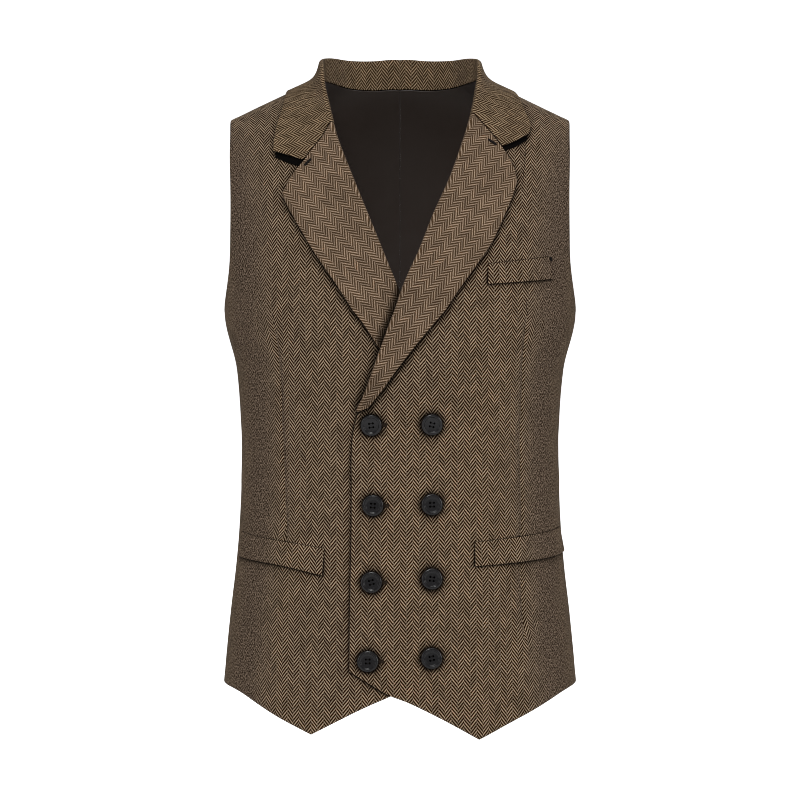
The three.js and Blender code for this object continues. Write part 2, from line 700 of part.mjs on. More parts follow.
// Pocket welts
function weltGeometry({ lower, upper }, lift) {
  const { along, up } = weltSteps;
  const [bottom, top] = [lower, upper].map((line) => samples(pathThrough(line.map(frontPlace)), along));
  const level = (i, out) => bottom.map((at, j) => {
    const on = at.clone().lerp(top[j], i / up);
    return bodyPoint(on, lift(on) + restGap + out);
  });
  const skin = (out) => Array.from({ length: up + 1 }, (_, i) => level(i, out));
  return wallGeometry(skin(cloth), skin(0));
}

addPiece('chest_welt', weltGeometry(chestWelt, lapLift), tweed);
addPiece('pocket_welt_left', weltGeometry(leftWelt, lapLift), tweed);
addPiece('pocket_welt_right', weltGeometry(rightWelt, onBody), tweed);

// Buttons: a dished disc with four holes, lying against the left front
const wasm = await Module();
wasm.setup();

function toSolid(geometry) {
  geometry.deleteAttribute('normal');
  geometry.deleteAttribute('uv');
  const merged = mergeVertices(geometry);
  const vertProperties = new Float32Array(merged.attributes.position.array);
  const triVerts = new Uint32Array(merged.index.array);
  return new wasm.Manifold(new wasm.Mesh({ numProp: 3, vertProperties, triVerts }));
}

function buttonGeometry() {
  const { radius, height, rimWidth, slope, dish, round, sides } = button;
  const profile = [
    [0, 0],
    [radius - round, 0],
    [radius, round],
    [radius, height - round],
    [radius - round, height],
    [radius - rimWidth, height],
    [radius - rimWidth - slope, height - dish],
    [0, height - dish],
  ].map(([x, y]) => new THREE.Vector2(x, y));
  let solid = toSolid(new THREE.LatheGeometry(profile, sides).rotateX(Math.PI / 2));
  const { radius: holeRadius, circleRadius, sides: holeSides } = buttonHoles;
  const offset = circleRadius / Math.SQRT2;
  for (const x of [-offset, offset]) {
    for (const y of [-offset, offset]) {
      const hole = new THREE.CylinderGeometry(holeRadius, holeRadius, 3 * height, holeSides);
      solid = solid.subtract(toSolid(hole.rotateX(Math.PI / 2).translate(x, y, 0)));
    }
  }
  const { vertProperties, triVerts } = solid.getMesh();
  const geometry = new THREE.BufferGeometry();
  geometry.setAttribute('position', new THREE.BufferAttribute(vertProperties, 3));
  geometry.setIndex(new THREE.BufferAttribute(triVerts, 1));
  return geometry;
}

const buttonShape = buttonGeometry();

function addButton(name, x, z) {
  const at = frontPlace({ x, z });
  const mesh = addPiece(name, buttonShape.clone(), horn);
  mesh.position.copy(bodyPoint(at, lapLift(at) + buttonGap));
  mesh.quaternion.setFromUnitVectors(new THREE.Vector3(0, 0, 1), outward(at));
}

buttonRows.forEach(({ outerX, outerZ, innerX, innerZ }, row) => {
  addButton(`button_outer_${row + 1}`, outerX, outerZ);
  addButton(`button_inner_${row + 1}`, innerX, innerZ);
});

export default waistcoat;
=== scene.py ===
import math

import bmesh
import bpy
import numpy as np
from mathutils import Matrix, Vector, noise
from mathutils.bvhtree import BVHTree


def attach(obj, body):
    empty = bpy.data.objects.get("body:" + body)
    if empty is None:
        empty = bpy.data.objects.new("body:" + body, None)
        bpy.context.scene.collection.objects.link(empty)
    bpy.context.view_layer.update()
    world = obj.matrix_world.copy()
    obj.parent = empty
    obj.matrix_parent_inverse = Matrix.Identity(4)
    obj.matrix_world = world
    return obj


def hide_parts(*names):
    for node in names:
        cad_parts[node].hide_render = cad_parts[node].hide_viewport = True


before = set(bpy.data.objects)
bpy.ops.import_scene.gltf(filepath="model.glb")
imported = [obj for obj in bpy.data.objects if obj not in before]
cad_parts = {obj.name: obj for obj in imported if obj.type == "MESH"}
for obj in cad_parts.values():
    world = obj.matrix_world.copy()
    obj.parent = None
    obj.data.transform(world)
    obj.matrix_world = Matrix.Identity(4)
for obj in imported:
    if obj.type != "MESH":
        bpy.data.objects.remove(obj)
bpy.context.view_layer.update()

# Double-breasted suit waistcoat in brown herringbone tweed, in its worn, hollow form.
# Blender works in metres. The cut is laid out in millimetres on the body's surface, and
# turned into metres when a mesh is made. X is the wearer's left, Y the back, Z up.

millimetre = 0.001
scene = bpy.context.scene

# The worn form

body = {
    "ringPower": 2.4,  # squareness of its level rings
    "archPower": 2.4,  # squareness of its curve over the shoulder
    "chestZ": -227,  # underarm level
    "archRise": 270,  # from there to the shoulder seam
    "crestY": 5,  # the shoulder seams lie here
    "neckX": 76.5,
    "shoulderSlope": 0.49,
    "neckRound": 35,
    "shoulderSpread": 182,
    "reach": 150,  # one radian round the body counts as this length
    "settleRounds": 30,  # a place is found from x and z, or x and y, in this many rounds
    "levelZ": [-227, -283, -356, -435, -502, -585, -645],
    "halfWidth": [170, 158.2, 153.3, 155.6, 161.8, 170.3, 176],
    "front": [121, 116.5, 110, 110, 112.5, 116.5, 119],
    "back": [112, 103, 93, 96, 105, 116, 122],
}
chestZ = body["chestZ"]
archRise = body["archRise"]
reach = body["reach"]


def ease(value, start, end):
    t = np.clip((value - start) / (end - start), 0, 1)
    return t * t * (3 - 2 * t)


def mixed(a, b, share):
    return a + (b - a) * share


def unit(vectors):
    return vectors / np.maximum(np.linalg.norm(vectors, axis=-1, keepdims=True), 1e-12)


def sizeAt(column, z):
    levelZ, values = np.array(body["levelZ"], float), np.array(body[column], float)
    last = len(levelZ) - 1
    below = np.minimum(np.arange(last + 1) + 1, last)
    above = np.maximum(np.arange(last + 1) - 1, 0)
    slopes = (values[below] - values[above]) / (levelZ[below] - levelZ[above])
    slopes[0] = 0
    height = np.clip(z, levelZ[-1], levelZ[0])
    after = np.clip(np.searchsorted(-levelZ, -height), 1, last)
    before = after - 1
    span = levelZ[after] - levelZ[before]
    t = (height - levelZ[before]) / span
    start = values[before] * (1 + 2 * t) + slopes[before] * span * t
    end = values[after] * (3 - 2 * t) - slopes[after] * span * (1 - t)
    return start * (1 - t) ** 2 + end * t * t


def shoulderZ(x):
    rounding = body["neckRound"]
    return body["shoulderSlope"] * (np.hypot(body["neckX"], rounding) - np.hypot(x, rounding))


# A round form with fuller corners: how far across and how far ahead it lies at a turn
def rounded(turn, power):
    across, ahead = np.sin(turn), np.cos(turn)
    size = (np.abs(across) ** power + np.abs(ahead) ** power) ** (-1 / power)
    return across * size, ahead * size


def ring(angle):
    return rounded(angle, body["ringPower"])


def angleAt(x, halfWidth):
    power = body["ringPower"]
    share = np.clip(np.abs(x) / halfWidth, 1e-7, 1)
    return np.sign(x) * np.arctan2(1, np.maximum(share ** -power - 1, 0) ** (1 / power))


# Above the underarm the body grows from the chest's width to the shoulders'
def archHalfWidth(up):
    return mixed(body["halfWidth"][0], body["shoulderSpread"], up * up)


def shoulderTop(angle):
    return shoulderZ(body["shoulderSpread"] * ring(angle)[0])


# A place on the body is (way round from the centre front, rise from the underarm level).
# Past the shoulder seam the rise goes on down the back.
def placeAt(angle, rise):
    return np.stack(np.broadcast_arrays(np.asarray(angle) * reach, rise), axis=-1).astype(float)


def facing(at):
    over = at[..., 1] > archRise
    angle = np.where(over, math.pi - at[..., 0] / reach, at[..., 0] / reach)
    return angle, np.where(over, 2 * archRise - at[..., 1], at[..., 1])


def surfacePoint(at):
    angle, rise = facing(at)
    across, ahead = ring(angle)
    z = chestZ + np.minimum(rise, 0)
    y = -np.where(ahead > 0, sizeAt("front", z), sizeAt("back", z)) * ahead
    level = np.stack([sizeAt("halfWidth", z) * across, y, z], axis=-1)
    up, out = rounded(np.maximum(rise, 0) / archRise * math.pi / 2, body["archPower"])
    top = shoulderTop(angle)
    arch = [archHalfWidth(up) * across, mixed(body["crestY"], y, out), mixed(chestZ, top, up)]
    return np.where((rise > 0)[..., None], np.stack(arch, axis=-1), level)


def outward(at):
    step = 0.2

    def shifted(x, y):
        return surfacePoint(at + np.array([x, y]))

    sideways = shifted(step, 0) - shifted(-step, 0)
    return unit(np.cross(sideways, shifted(0, step) - shifted(0, -step)))


def shareUp(angle, z):
    return np.clip((z - chestZ) / (shoulderTop(angle) - chestZ), 0, 1)


def riseAt(angle, z):
    up = shareUp(angle, z)
    over = (1 - up ** body["archPower"]) ** (1 / body["archPower"])
    return np.where(z <= chestZ, z - chestZ, np.arctan2(up, over) / (math.pi / 2) * archRise)


def frontPlace(x, z):
    x, z = np.broadcast_arrays(np.asarray(x, float), np.asarray(z, float))
    angle = angleAt(x, sizeAt("halfWidth", z))
    for _ in range(body["settleRounds"]):
        higher = angleAt(x, archHalfWidth(shareUp(angle, z)))
        angle = np.where(z > chestZ, higher, angle)
    return placeAt(angle, riseAt(angle, z))


# A place on the back of the shoulders, seen from above
def planPlace(x, y):
    x, y = np.broadcast_arrays(np.asarray(x, float), np.asarray(y, float))
    crestY, power = body["crestY"], body["archPower"]
    angle = angleAt(x, body["shoulderSpread"])
    for _ in range(body["settleRounds"]):
        over = np.clip((y - crestY) / (body["back"][0] * ring(angle)[1] - crestY), 0, 1)
        up = (1 - over ** power) ** (1 / power)
        angle = angleAt(x, archHalfWidth(up))
    return placeAt(angle, (2 - np.arctan2(up, over) / (math.pi / 2)) * archRise)


def roundPlace(degrees, z):
    angle = np.radians(degrees)
    return placeAt(angle, riseAt(angle, np.asarray(z, float)))


def mirrored(at):
    return at * np.array([-1, 1])


# Soft unevenness of the worn cloth

softness = {
    "broad": (0.55, 95),  # height and scale, in millimetres
    "fine": (0.16, 34),
    "mirrorShares": ((1, 1), (-1, 0.8)),  # a crease is weaker on the wearer's right side
    "fadeFrom": 0.08,
    "fadePower": 1.3,
    # Troughs, and ridges where the depth is below 0: start and end (degrees round, height),
    # width and depth
    "creases": [
        ((66, -205), (30, -262), 15, 0.9),
        ((86, -262), (58, -318), 13, 0.8),
        ((90, -345), (52, -372), 10, 0.9),
        ((92, -382), (60, -398), 9, -0.6),
        ((60, -352), (24, -340), 10, 0.6),
        ((64, -420), (22, -412), 9, 0.5),
        ((72, -500), (40, -575), 17, 0.9),
        ((52, -530), (28, -600), 13, -0.8),
        ((88, -480), (84, -585), 16, -0.9),
        ((104, -330), (138, -372), 13, 1.2),
        ((106, -385), (150, -405), 12, 1.1),
        ((112, -250), (140, -300), 15, 0.9),
        ((150, -420), (168, -560), 17, 0.9),
        ((128, -450), (134, -585), 17, -1.0),
        ((121, -150), (150, -176), 14, 0.8),
    ],
}


def lineDistance(at, start, end):
    along = end - start
    share = np.clip(((at - start) @ along) / (along @ along), 0, 1)
    return np.linalg.norm(at - start - share[..., None] * along, axis=-1), share


def unevenness(at):
    angle, rise = facing(at)
    points = surfacePoint(at).reshape(-1, 3)
    lift = np.zeros(len(points))
    for size, scale in (softness["broad"], softness["fine"]):
        lift += size * np.array([noise.noise(Vector(point)) for point in points / scale])
    lift = lift.reshape(angle.shape)
    turned = (angle + math.pi) % (2 * math.pi) - math.pi
    fadeFrom = softness["fadeFrom"]
    for start, end, width, depth in softness["creases"]:
        start, end = roundPlace(*start), roundPlace(*end)
        for side, strength in softness["mirrorShares"]:
            distance, share = lineDistance(placeAt(turned * side, rise), start, end)
            fade = np.sin(np.pi * mixed(fadeFrom, 1 - fadeFrom, share)) ** softness["fadePower"]
            lift -= strength * depth * fade * np.exp(-(distance / width) ** 2)
    return lift


def bodyPoint(at, out):
    return surfacePoint(at) + outward(at) * (out + unevenness(at))[..., None]


# Lines of the cut


# A smooth curve through points, which doesn't swing wide where they lie close together
def pathThrough(points, steps=48):
    points = np.asarray(points, float)
    points = np.vstack([2 * points[0] - points[1], points, 2 * points[-1] - points[-2]])
    gaps = np.maximum(np.sum(np.diff(points, axis=0) ** 2, axis=1) ** 0.25, 1e-4)
    t = np.linspace(0, 1, steps + 1)[:, None]
    line = []
    for i in range(1, len(points) - 2):
        a, b, c, d = points[i - 1:i + 3]
        g, h, k = gaps[i - 1:i + 2]
        leave = ((b - a) / g - (c - a) / (g + h) + (c - b) / h) * h
        arrive = ((c - b) / h - (d - b) / (h + k) + (d - c) / k) * h
        ends = b * (1 - t) ** 2 * (1 + 2 * t) + c * t ** 2 * (3 - 2 * t)
        part = ends + leave * t * (1 - t) ** 2 - arrive * t ** 2 * (1 - t)
        line.append(part[0 if i == 1 else 1:])
    return measured(np.vstack(line))


def measured(line):
    lengths = np.concatenate([[0], np.cumsum(np.linalg.norm(np.diff(line, axis=0), axis=1))])
    return {"line": line, "length": lengths[-1], "shares": lengths / lengths[-1]}


def straightPath(start, end):
    return measured(np.array([start, end], float))


def pointAt(path, share):
    columns = [np.interp(share, path["shares"], column) for column in path["line"].T]
    return np.stack(columns, axis=-1)


def shareAtRise(path, rise):
    return float(np.interp(rise, path["line"][:, 1], path["shares"]))


# Two lines end to end, as one function of the share of their whole
def joinedLine(first, second, corner):
    def at(share):
        share = np.asarray(share, float)
        start = pointAt(first, np.clip(share / corner, 0, 1))
        end = pointAt(second, np.clip((share - corner) / (1 - corner), 0, 1))
        return np.where((share <= corner)[..., None], start, end)

    return at


# A sheet of places between two edges, drawn onto its end lines where they bend
def sheetBetween(inner, outer, startLine, endLine, shares, climb, closeness):
    straight = inner[:, None] + (outer - inner)[:, None] * shares[..., None]
    first, last = [np.broadcast_to(shares[i], shares.shape) for i in (0, -1)]
    atStart = startLine(shares) - (inner[0] + (outer[0] - inner[0]) * shares[..., None])
    atEnd = endLine(shares) - (inner[-1] + (outer[-1] - inner[-1]) * shares[..., None])
    towards = climb[:, None, None]
    return straight + atStart * (1 - towards) ** closeness + atEnd * towards ** closeness


edgeSteps = np.array([0, 0.1, 0.35, 0.75, 1.2, 2.0])  # points by an edge that rounds off


# Distances from 0 to a length, with the points by both ends closer together
def spread(length, step, startSteps=edgeSteps, endSteps=edgeSteps):
    low, high = startSteps[-1], length - endSteps[-1]
    middle = np.linspace(low, high, max(int(round((high - low) / step)), 2) + 1)
    return np.concatenate([startSteps[:-1], middle, length - endSteps[-2::-1]])


# Outlines, as seen from the front: x, z

cut = {
    "cloth": 2,
    "seamGap": 0.004,  # sewn edges all but meet
    "shoulderGap": 0.02,
    "gorgeGap": 0.1,  # between lapel and collar
    "gorgeRollGap": 0.3,
    "neckGap": 0.6,  # from the neck's edge to the cloth folded over it
    "restGap": 0.45,  # from a panel to the cloth that lies on it
    "sideSeam": 98,  # degrees round
    "shoulderTip": 59.4,
    "breakZ": -357,
    "vZ": -212,
    "sideHemZ": -585,
    "backHemZ": -590,
    "leftEdge": [
        (-47.5, -567), (-46.9, -500), (-45.4, -410), (-45.2, -357), (-42.8, -337),
        (-37.6, -320), (-32, -309), (-16.3, -265), (2.7, -212), (20.4, -171),
        (32.1, -141), (49.2, -102.5), (62.4, -64.7), (69.1, -41.3), (74.2, -15),
    ],
    "rightEdge": [
        (47.5, -560), (46.9, -500), (45.4, -410), (45.2, -357), (41, -334),
        (32.5, -309), (16.3, -265), (-2.4, -212), (-13, -185.5), (-31, -141),
        (-47.6, -100), (-60.8, -65.7), (-65.8, -46), (-73.2, -15),
    ],
    "leftHem": [(-47.5, -567), (-10.6, -589), (7.5, -596), (40, -612), (74.2, -631)],
    "leftSkirt": [(74.2, -631), (112.3, -612), (152.7, -591), (167.5, -585)],
    "rightHem": [(47.5, -560), (10, -581), (-7.5, -589.5), (-34.7, -601.5), (-83.8, -626.5)],
    "rightSkirt": [(-83.8, -626.5), (-106.9, -615.5), (-150.4, -591), (-167.5, -585)],
    # Armholes: degrees round, height
    "armholeFront": [
        (98, -229), (88, -226), (77, -212), (69, -185), (66, -150), (63.5, -110),
        (62, -80), (60.5, -58),
    ],
    "armholeBack": [
        (98, -229), (107, -224), (114, -207), (118, -180), (119.5, -140), (120, -90),
        (120.5, -58),
    ],
    # Behind the shoulder seam, from above: x, y
    "backNeck": [(71.5, 28), (52, 52), (27, 63), (0, 66)],
}


def frontPlaces(points):
    return frontPlace(*np.array(points, float).T)


neckPoint = placeAt(angleAt(body["neckX"], body["shoulderSpread"]), archRise)
backNeckPlaces = planPlace(*np.array(cut["backNeck"], float).T)
leftEdgePath = pathThrough(np.vstack([frontPlaces(cut["leftEdge"]), neckPoint, backNeckPlaces]))
rightEdgePath = pathThrough(np.vstack([
    frontPlaces(cut["rightEdge"]), mirrored(neckPoint), mirrored(backNeckPlaces),
]))
breakRise = cut["breakZ"] - chestZ
vRise = float(riseAt(0, cut["vZ"]))

# The left front lies out over the right front and over the end of its lapel
lap = {
    "step": 2.5, "rampStart": 9, "rampEnd": 62,
    "lapelStep": 3.6, "lapelRampStart": 6, "lapelRampEnd": 60,
    "lapelFrom": -321, "lapelFull": -294, "topStart": 10, "topEnd": 100,
}


def lapLift(at):
    points = surfacePoint(at)
    x, z = points[..., 0], points[..., 2]
    edgeX, edgeZ = np.array(cut["rightEdge"], float).T
    past = x - np.interp(z, edgeZ, edgeX)
    overFront = lap["step"] * (1 - ease(past, lap["rampStart"], lap["rampEnd"]))
    overLapel = lap["lapelStep"] * (1 - ease(past, lap["lapelRampStart"], lap["lapelRampEnd"]))
    overLapel = overLapel * ease(z, lap["lapelFrom"], lap["lapelFull"])
    top = 1 - ease(z, cut["vZ"] + lap["topStart"], cut["vZ"] + lap["topEnd"])
    return (overFront + overLapel) * top


def onBody(at):
    return np.zeros(at.shape[:-1])


# The weave's own place: how far along the surface from the centre line (front or back),
# and how far from the underarm level
def weaveAt(at, steps=40):
    angle, rise = facing(at)
    centre = np.where(np.abs(angle) > math.radians(cut["sideSeam"]), math.pi * np.sign(angle), 0)
    shares = np.linspace(0, 1, steps + 1).reshape((-1,) + (1,) * angle.ndim)
    sideways = surfacePoint(placeAt(centre + (angle - centre) * shares, rise + 0 * shares))
    up = surfacePoint(placeAt(angle + 0 * shares, rise * shares))
    u = np.linalg.norm(np.diff(sideways, axis=0), axis=-1).sum(0) * np.sign(angle - centre)
    v = np.linalg.norm(np.diff(up, axis=0), axis=-1).sum(0) * np.sign(rise)
    return np.stack([u, v], axis=-1)


# Meshes


# Share of the full thickness this far from an edge, where the cloth rounds off
def pillow(distance, radius=1.15, least=0.12):
    near = 1 - np.clip(distance / radius, 0, 1)
    return np.maximum(np.sqrt(1 - near * near), least)


# Distances from the four edges of a grid of points: first and last column, first and last row
def fromEdges(points):
    across = np.linalg.norm(np.diff(points, axis=1), axis=-1).cumsum(1)
    along = np.linalg.norm(np.diff(points, axis=0), axis=-1).cumsum(0)
    across = np.concatenate([np.zeros_like(across[:, :1]), across], axis=1)
    along = np.concatenate([np.zeros_like(along[:1]), along], axis=0)
    return np.stack([across, across[:, -1:] - across, along, along[-1:] - along])


clothPieces = []


# A closed cloth shell from two grids of points, its right side and its wrong side.
# The weave shift moves the pattern on the faces past a dart.
def clothPiece(name, rightSide, wrongSide, weave, materials, inside=None, weaveShift=None):
    high, wide = rightSide.shape[:2]
    count = high * wide
    index = np.arange(count).reshape(high, wide)

    def quads(grid):
        corners = [grid[:-1, :-1], grid[:-1, 1:], grid[1:, 1:], grid[1:, :-1]]
        return np.stack(corners, axis=-1).reshape(-1, 4)

    rim = np.concatenate([index[0, :-1], index[:-1, -1], index[-1, :0:-1], index[:0:-1, 0]])
    following = np.roll(rim, -1)
    rimFaces = np.stack([following, rim, rim + count, following + count], axis=-1)
    faces = np.concatenate([quads(index), quads(index)[:, ::-1] + count, rimFaces])
    points = np.concatenate([rightSide.reshape(-1, 3), wrongSide.reshape(-1, 3)])
    row, column = high // 2, wide // 2
    a, b, c = rightSide[row, column], rightSide[row, column + 1], rightSide[row + 1, column]
    if np.cross(b - a, c - a) @ (a - wrongSide[row, column]) < 0:
        faces = faces[:, ::-1]
    mesh = bpy.data.meshes.new(name)
    mesh.from_pydata((points * millimetre).tolist(), [], faces.tolist())
    loops = np.zeros(len(mesh.loops), np.int32)
    mesh.loops.foreach_get("vertex_index", loops)
    uv = np.concatenate([weave.reshape(-1, 2)] * 2)[loops].reshape(-1, 4, 2)
    if weaveShift is not None:
        shift, past = weaveShift
        shift = np.concatenate([shift.reshape(-1)] * 2)[loops].reshape(-1, 4)
        past = np.concatenate([past.reshape(-1)] * 2 + [np.zeros(len(rimFaces))])
        uv[..., 0] += shift * past[:, None]
    layer = mesh.uv_layers.new(name="weave")
    layer.data.foreach_set("uv", (uv * millimetre).astype(np.float32).ravel())
    for material in materials:
        mesh.materials.append(material)
    slots = np.zeros(len(faces), np.int32)
    cells = (high - 1) * (wide - 1)
    if inside is not None:
        slots[cells:2 * cells] = inside.reshape(-1)
    mesh.polygons.foreach_set("material_index", slots)
    mesh.polygons.foreach_set("use_smooth", np.ones(len(faces), bool))
    mesh.update()
    piece = bpy.data.objects.new(name, mesh)
    scene.collection.objects.link(piece)
    clothPieces.append(piece)
    return piece


# Cloth over places on the body, with its middle this far out
def laidCloth(name, places, out, half, weave, materials, radius=1.15, **marks):
    surface = surfacePoint(places)
    normals = outward(places)
    middle = surface + normals * out[..., None]
    thick = normals * (half * pillow(fromEdges(surface).min(axis=0), radius))[..., None]
    return clothPiece(name, middle + thick, middle - thick, weave, materials, **marks)


def layPiece(piece, node):
    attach(piece, "root")
    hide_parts(node)


# Materials


def setInputs(tree, node, values):
    for name, value in values.items():
        if isinstance(value, bpy.types.NodeSocket):
            tree.links.new(value, node.inputs[name])
        else:
            node.inputs[name].default_value = value


def addNode(tree, kind, values=None, **settings):
    node = tree.nodes.new(kind)
    for name, value in settings.items():
        setattr(node, name, value)
    setInputs(tree, node, values or {})
    return node


def calculate(tree, operation, *values, clamp=False):
    node = addNode(tree, "ShaderNodeMath", dict(enumerate(values)), operation=operation,
                   use_clamp=clamp)
    return node.outputs[0]


def moveVector(tree, operation, values):
    return addNode(tree, "ShaderNodeVectorMath", values, operation=operation).outputs[0]


# A value's span turned into a share, between the two targets
def ranged(tree, value, span, target=(0.0, 1.0), blend="SMOOTHSTEP"):
    return addNode(tree, "ShaderNodeMapRange", {
        "Value": value, "From Min": span[0], "From Max": span[1],
        "To Min": target[0], "To Max": target[1],
    }, interpolation_type=blend).outputs[0]


def mixColours(tree, factor, first, second, blend="MIX"):
    node = addNode(tree, "ShaderNodeMix", data_type="RGBA", blend_type=blend)
    for name, value in (("Factor", factor), ("A", first), ("B", second)):
        kind = "VALUE" if name == "Factor" else "RGBA"
        socket = [s for s in node.inputs if s.name == name and s.type == kind][0]
        if isinstance(value, bpy.types.NodeSocket):
            tree.links.new(value, socket)
        else:
            socket.default_value = value
    return [s for s in node.outputs if s.type == "RGBA"][0]


def newGroup(name, inputs, outputs):
    group = bpy.data.node_groups.new(name, "ShaderNodeTree")
    for label, kind, value in inputs:
        socket = group.interface.new_socket(label, in_out="INPUT", socket_type=kind)
        if value is not None:
            socket.default_value = value
    for label, kind in outputs:
        group.interface.new_socket(label, in_out="OUTPUT", socket_type=kind)
    return group, group.nodes.new("NodeGroupInput"), group.nodes.new("NodeGroupOutput")


def shaded(tree, colour, tone):
    grey = addNode(tree, "ShaderNodeCombineColor", {0: tone, 1: tone, 2: tone}).outputs[0]
    return mixColours(tree, 1.0, colour, grey, "MULTIPLY")


def addBump(tree, height, look):
    return addNode(tree, "ShaderNodeBump", {
        "Height": height, "Distance": look["bumpDistance"], "Strength": look["bumpStrength"],
    }).outputs[0]


strandDrift = {"Scale": 90.0, "Detail": 2.0}
fleckGrain = {"Detail": 3.0, "Roughness": 0.6}
mottleGrain = {"Scale": 55.0, "Detail": 3.0}


# Zigzag strands in upright columns, from flat cloth coordinates in metres
def herringboneGroup():
    tree, given, result = newGroup("herringbone strands", [
        ("Cloth Place", "NodeSocketVector", None),
        ("Column Width", "NodeSocketFloat", 0.006),
        ("Strand Pitch", "NodeSocketFloat", 0.003),
        ("Steepness", "NodeSocketFloat", 1.5),
        ("Softness", "NodeSocketFloat", 0.2),
        ("Light Share", "NodeSocketFloat", 0.5),
        ("Wander", "NodeSocketFloat", 0.0003),
        ("Break", "NodeSocketFloat", 0.5),
    ], [
        ("Light Strand", "NodeSocketFloat"),
        ("Strand Tone", "NodeSocketFloat"),
        ("Relief", "NodeSocketFloat"),
    ])
    place, width = given.outputs["Cloth Place"], given.outputs["Column Width"]
    drift = addNode(tree, "ShaderNodeTexNoise", {"Vector": place, **strandDrift})
    centred = moveVector(tree, "SUBTRACT", {0: drift.outputs["Color"], 1: (0.5, 0.5, 0.5)})
    moved = moveVector(tree, "SCALE", {0: centred, "Scale": given.outputs["Wander"]})
    wandered = moveVector(tree, "ADD", {0: place, 1: moved})
    split = addNode(tree, "ShaderNodeSeparateXYZ", {0: wandered})
    column = calculate(tree, "DIVIDE", split.outputs[0], width)
    zigzag = calculate(tree, "MULTIPLY", calculate(tree, "PINGPONG", column, 1.0), width)
    slope = calculate(tree, "MULTIPLY", zigzag, given.outputs["Steepness"])
    climb = calculate(tree, "DIVIDE", calculate(tree, "ADD", split.outputs[1], slope),
                      given.outputs["Strand Pitch"])
    # Strands meet the gaps of the next column
    odd = calculate(tree, "PINGPONG", calculate(tree, "FLOOR", column), 1.0)
    phase = calculate(tree, "MULTIPLY_ADD", odd, given.outputs["Break"], climb)
    wave = calculate(tree, "MULTIPLY", calculate(tree, "PINGPONG", phase, 0.5), 2.0)
    edge = calculate(tree, "SUBTRACT", 1.0, given.outputs["Light Share"])
    low = calculate(tree, "SUBTRACT", edge, given.outputs["Softness"])
    high = calculate(tree, "ADD", edge, given.outputs["Softness"])
    spot = addNode(tree, "ShaderNodeCombineXYZ",
                   {0: calculate(tree, "FLOOR", column), 1: calculate(tree, "FLOOR", phase)})
    tone = addNode(tree, "ShaderNodeTexWhiteNoise", {"Vector": spot.outputs[0]},
                   noise_dimensions="2D")
    setInputs(tree, result, {
        "Light Strand": ranged(tree, wave, (low, high)),
        "Strand Tone": tone.outputs["Value"],
        "Relief": wave,
    })
    return tree


# Short woollen flecks and broad mottling, as one value about 1
def woolGroup():
    tree, given, result = newGroup("wool flecks", [
        ("Cloth Place", "NodeSocketVector", None),
        ("Fleck Size", "NodeSocketFloat", 0.0012),
        ("Fleck Strength", "NodeSocketFloat", 0.3),
        ("Mottle Strength", "NodeSocketFloat", 0.1),
    ], [("Tone", "NodeSocketFloat"), ("Fleck", "NodeSocketFloat")])
    place = given.outputs["Cloth Place"]
    scale = calculate(tree, "DIVIDE", 1.0, given.outputs["Fleck Size"])
    fleck = addNode(tree, "ShaderNodeTexNoise", {"Vector": place, "Scale": scale, **fleckGrain})
    mottle = addNode(tree, "ShaderNodeTexNoise", {"Vector": place, **mottleGrain})
    tones = []
    for source, strength in ((fleck, "Fleck Strength"), (mottle, "Mottle Strength")):
        centred = calculate(tree, "SUBTRACT", source.outputs[0], 0.5)
        tones.append(calculate(tree, "MULTIPLY", centred, given.outputs[strength]))
    total = calculate(tree, "ADD", calculate(tree, "ADD", tones[0], tones[1]), 1.0)
    setInputs(tree, result, {"Tone": total, "Fleck": fleck.outputs[0]})
    return tree


herringboneStrands = herringboneGroup()
woolFlecks = woolGroup()


def addWool(tree, place, size, strength=0.3, mottle=0.1):
    return addNode(tree, "ShaderNodeGroup", {
        "Cloth Place": place, "Fleck Size": size, "Fleck Strength": strength,
        "Mottle Strength": mottle,
    }, node_tree=woolFlecks)


tweed = {
    "darkYarn": (0.0145, 0.0055, 0.0012, 1),
    "lightYarn": (0.309, 0.231, 0.157, 1),
    "columnWidth": 0.006,
    "strandPitch": 0.00371,
    "steepness": 1.24,
    "softness": 0.17,
    "lightShare": 0.385,
    "wander": 0.00022,
    "strandTones": (0.5, 0.75),  # their spread, and the darkest
    "fleckSize": 0.0011,
    "fleckStrength": 1.9,
    "mottle": 0.35,
    "rustFleck": (0.3, 0.09, 0.025, 1),
    "rustSpan": (0.6, 0.66),
    "rustShare": 0.55,
    # Painted fuzz sheen and side shade: where the cloth faces sideways a darker, greyer speckle
    # covers the weave, less at the very sides and less behind
    "paintedFuzzDark": (0.013, 0.0068, 0.004, 1),
    "paintedFuzzLight": (0.262, 0.192, 0.142, 1),
    "fuzzSize": 0.0016,
    "fuzzSpecks": (0.45, 0.65),
    "paintedFuzzSpan": (0.47, 0.74),
    "paintedFuzzShare": 0.78,
    "sideSpan": (0.82, 0.97),
    "sideShare": 0.45,
    "backSpan": (-0.3, 0.3),
    "backShare": 0.4,
    # Painted shade: how far the darkening in creases, under lifted edges and round the buttons
    # reaches, how strong it is, and its samples
    "paintedShadeReach": 0.009,
    "paintedShadePower": 5,
    "paintedShadeSamples": 6,
    "fleckRelief": 0.6,
    "bumpDistance": 0.00022,
    "bumpStrength": 0.9,
    "roughness": 0.92,
    "specular": 0.015,
    "sheen": 0.006,
    "sheenRoughness": 0.6,
    "sheenTint": (0.75, 0.66, 0.58, 1),
}


def newMaterial(name):
    material = bpy.data.materials.new(name)
    material.use_nodes = True
    tree = material.node_tree
    tree.nodes.clear()
    surface = tree.nodes.new("ShaderNodeBsdfPrincipled")
    output = tree.nodes.new("ShaderNodeOutputMaterial")
    tree.links.new(surface.outputs[0], output.inputs["Surface"])
    return material, tree, surface


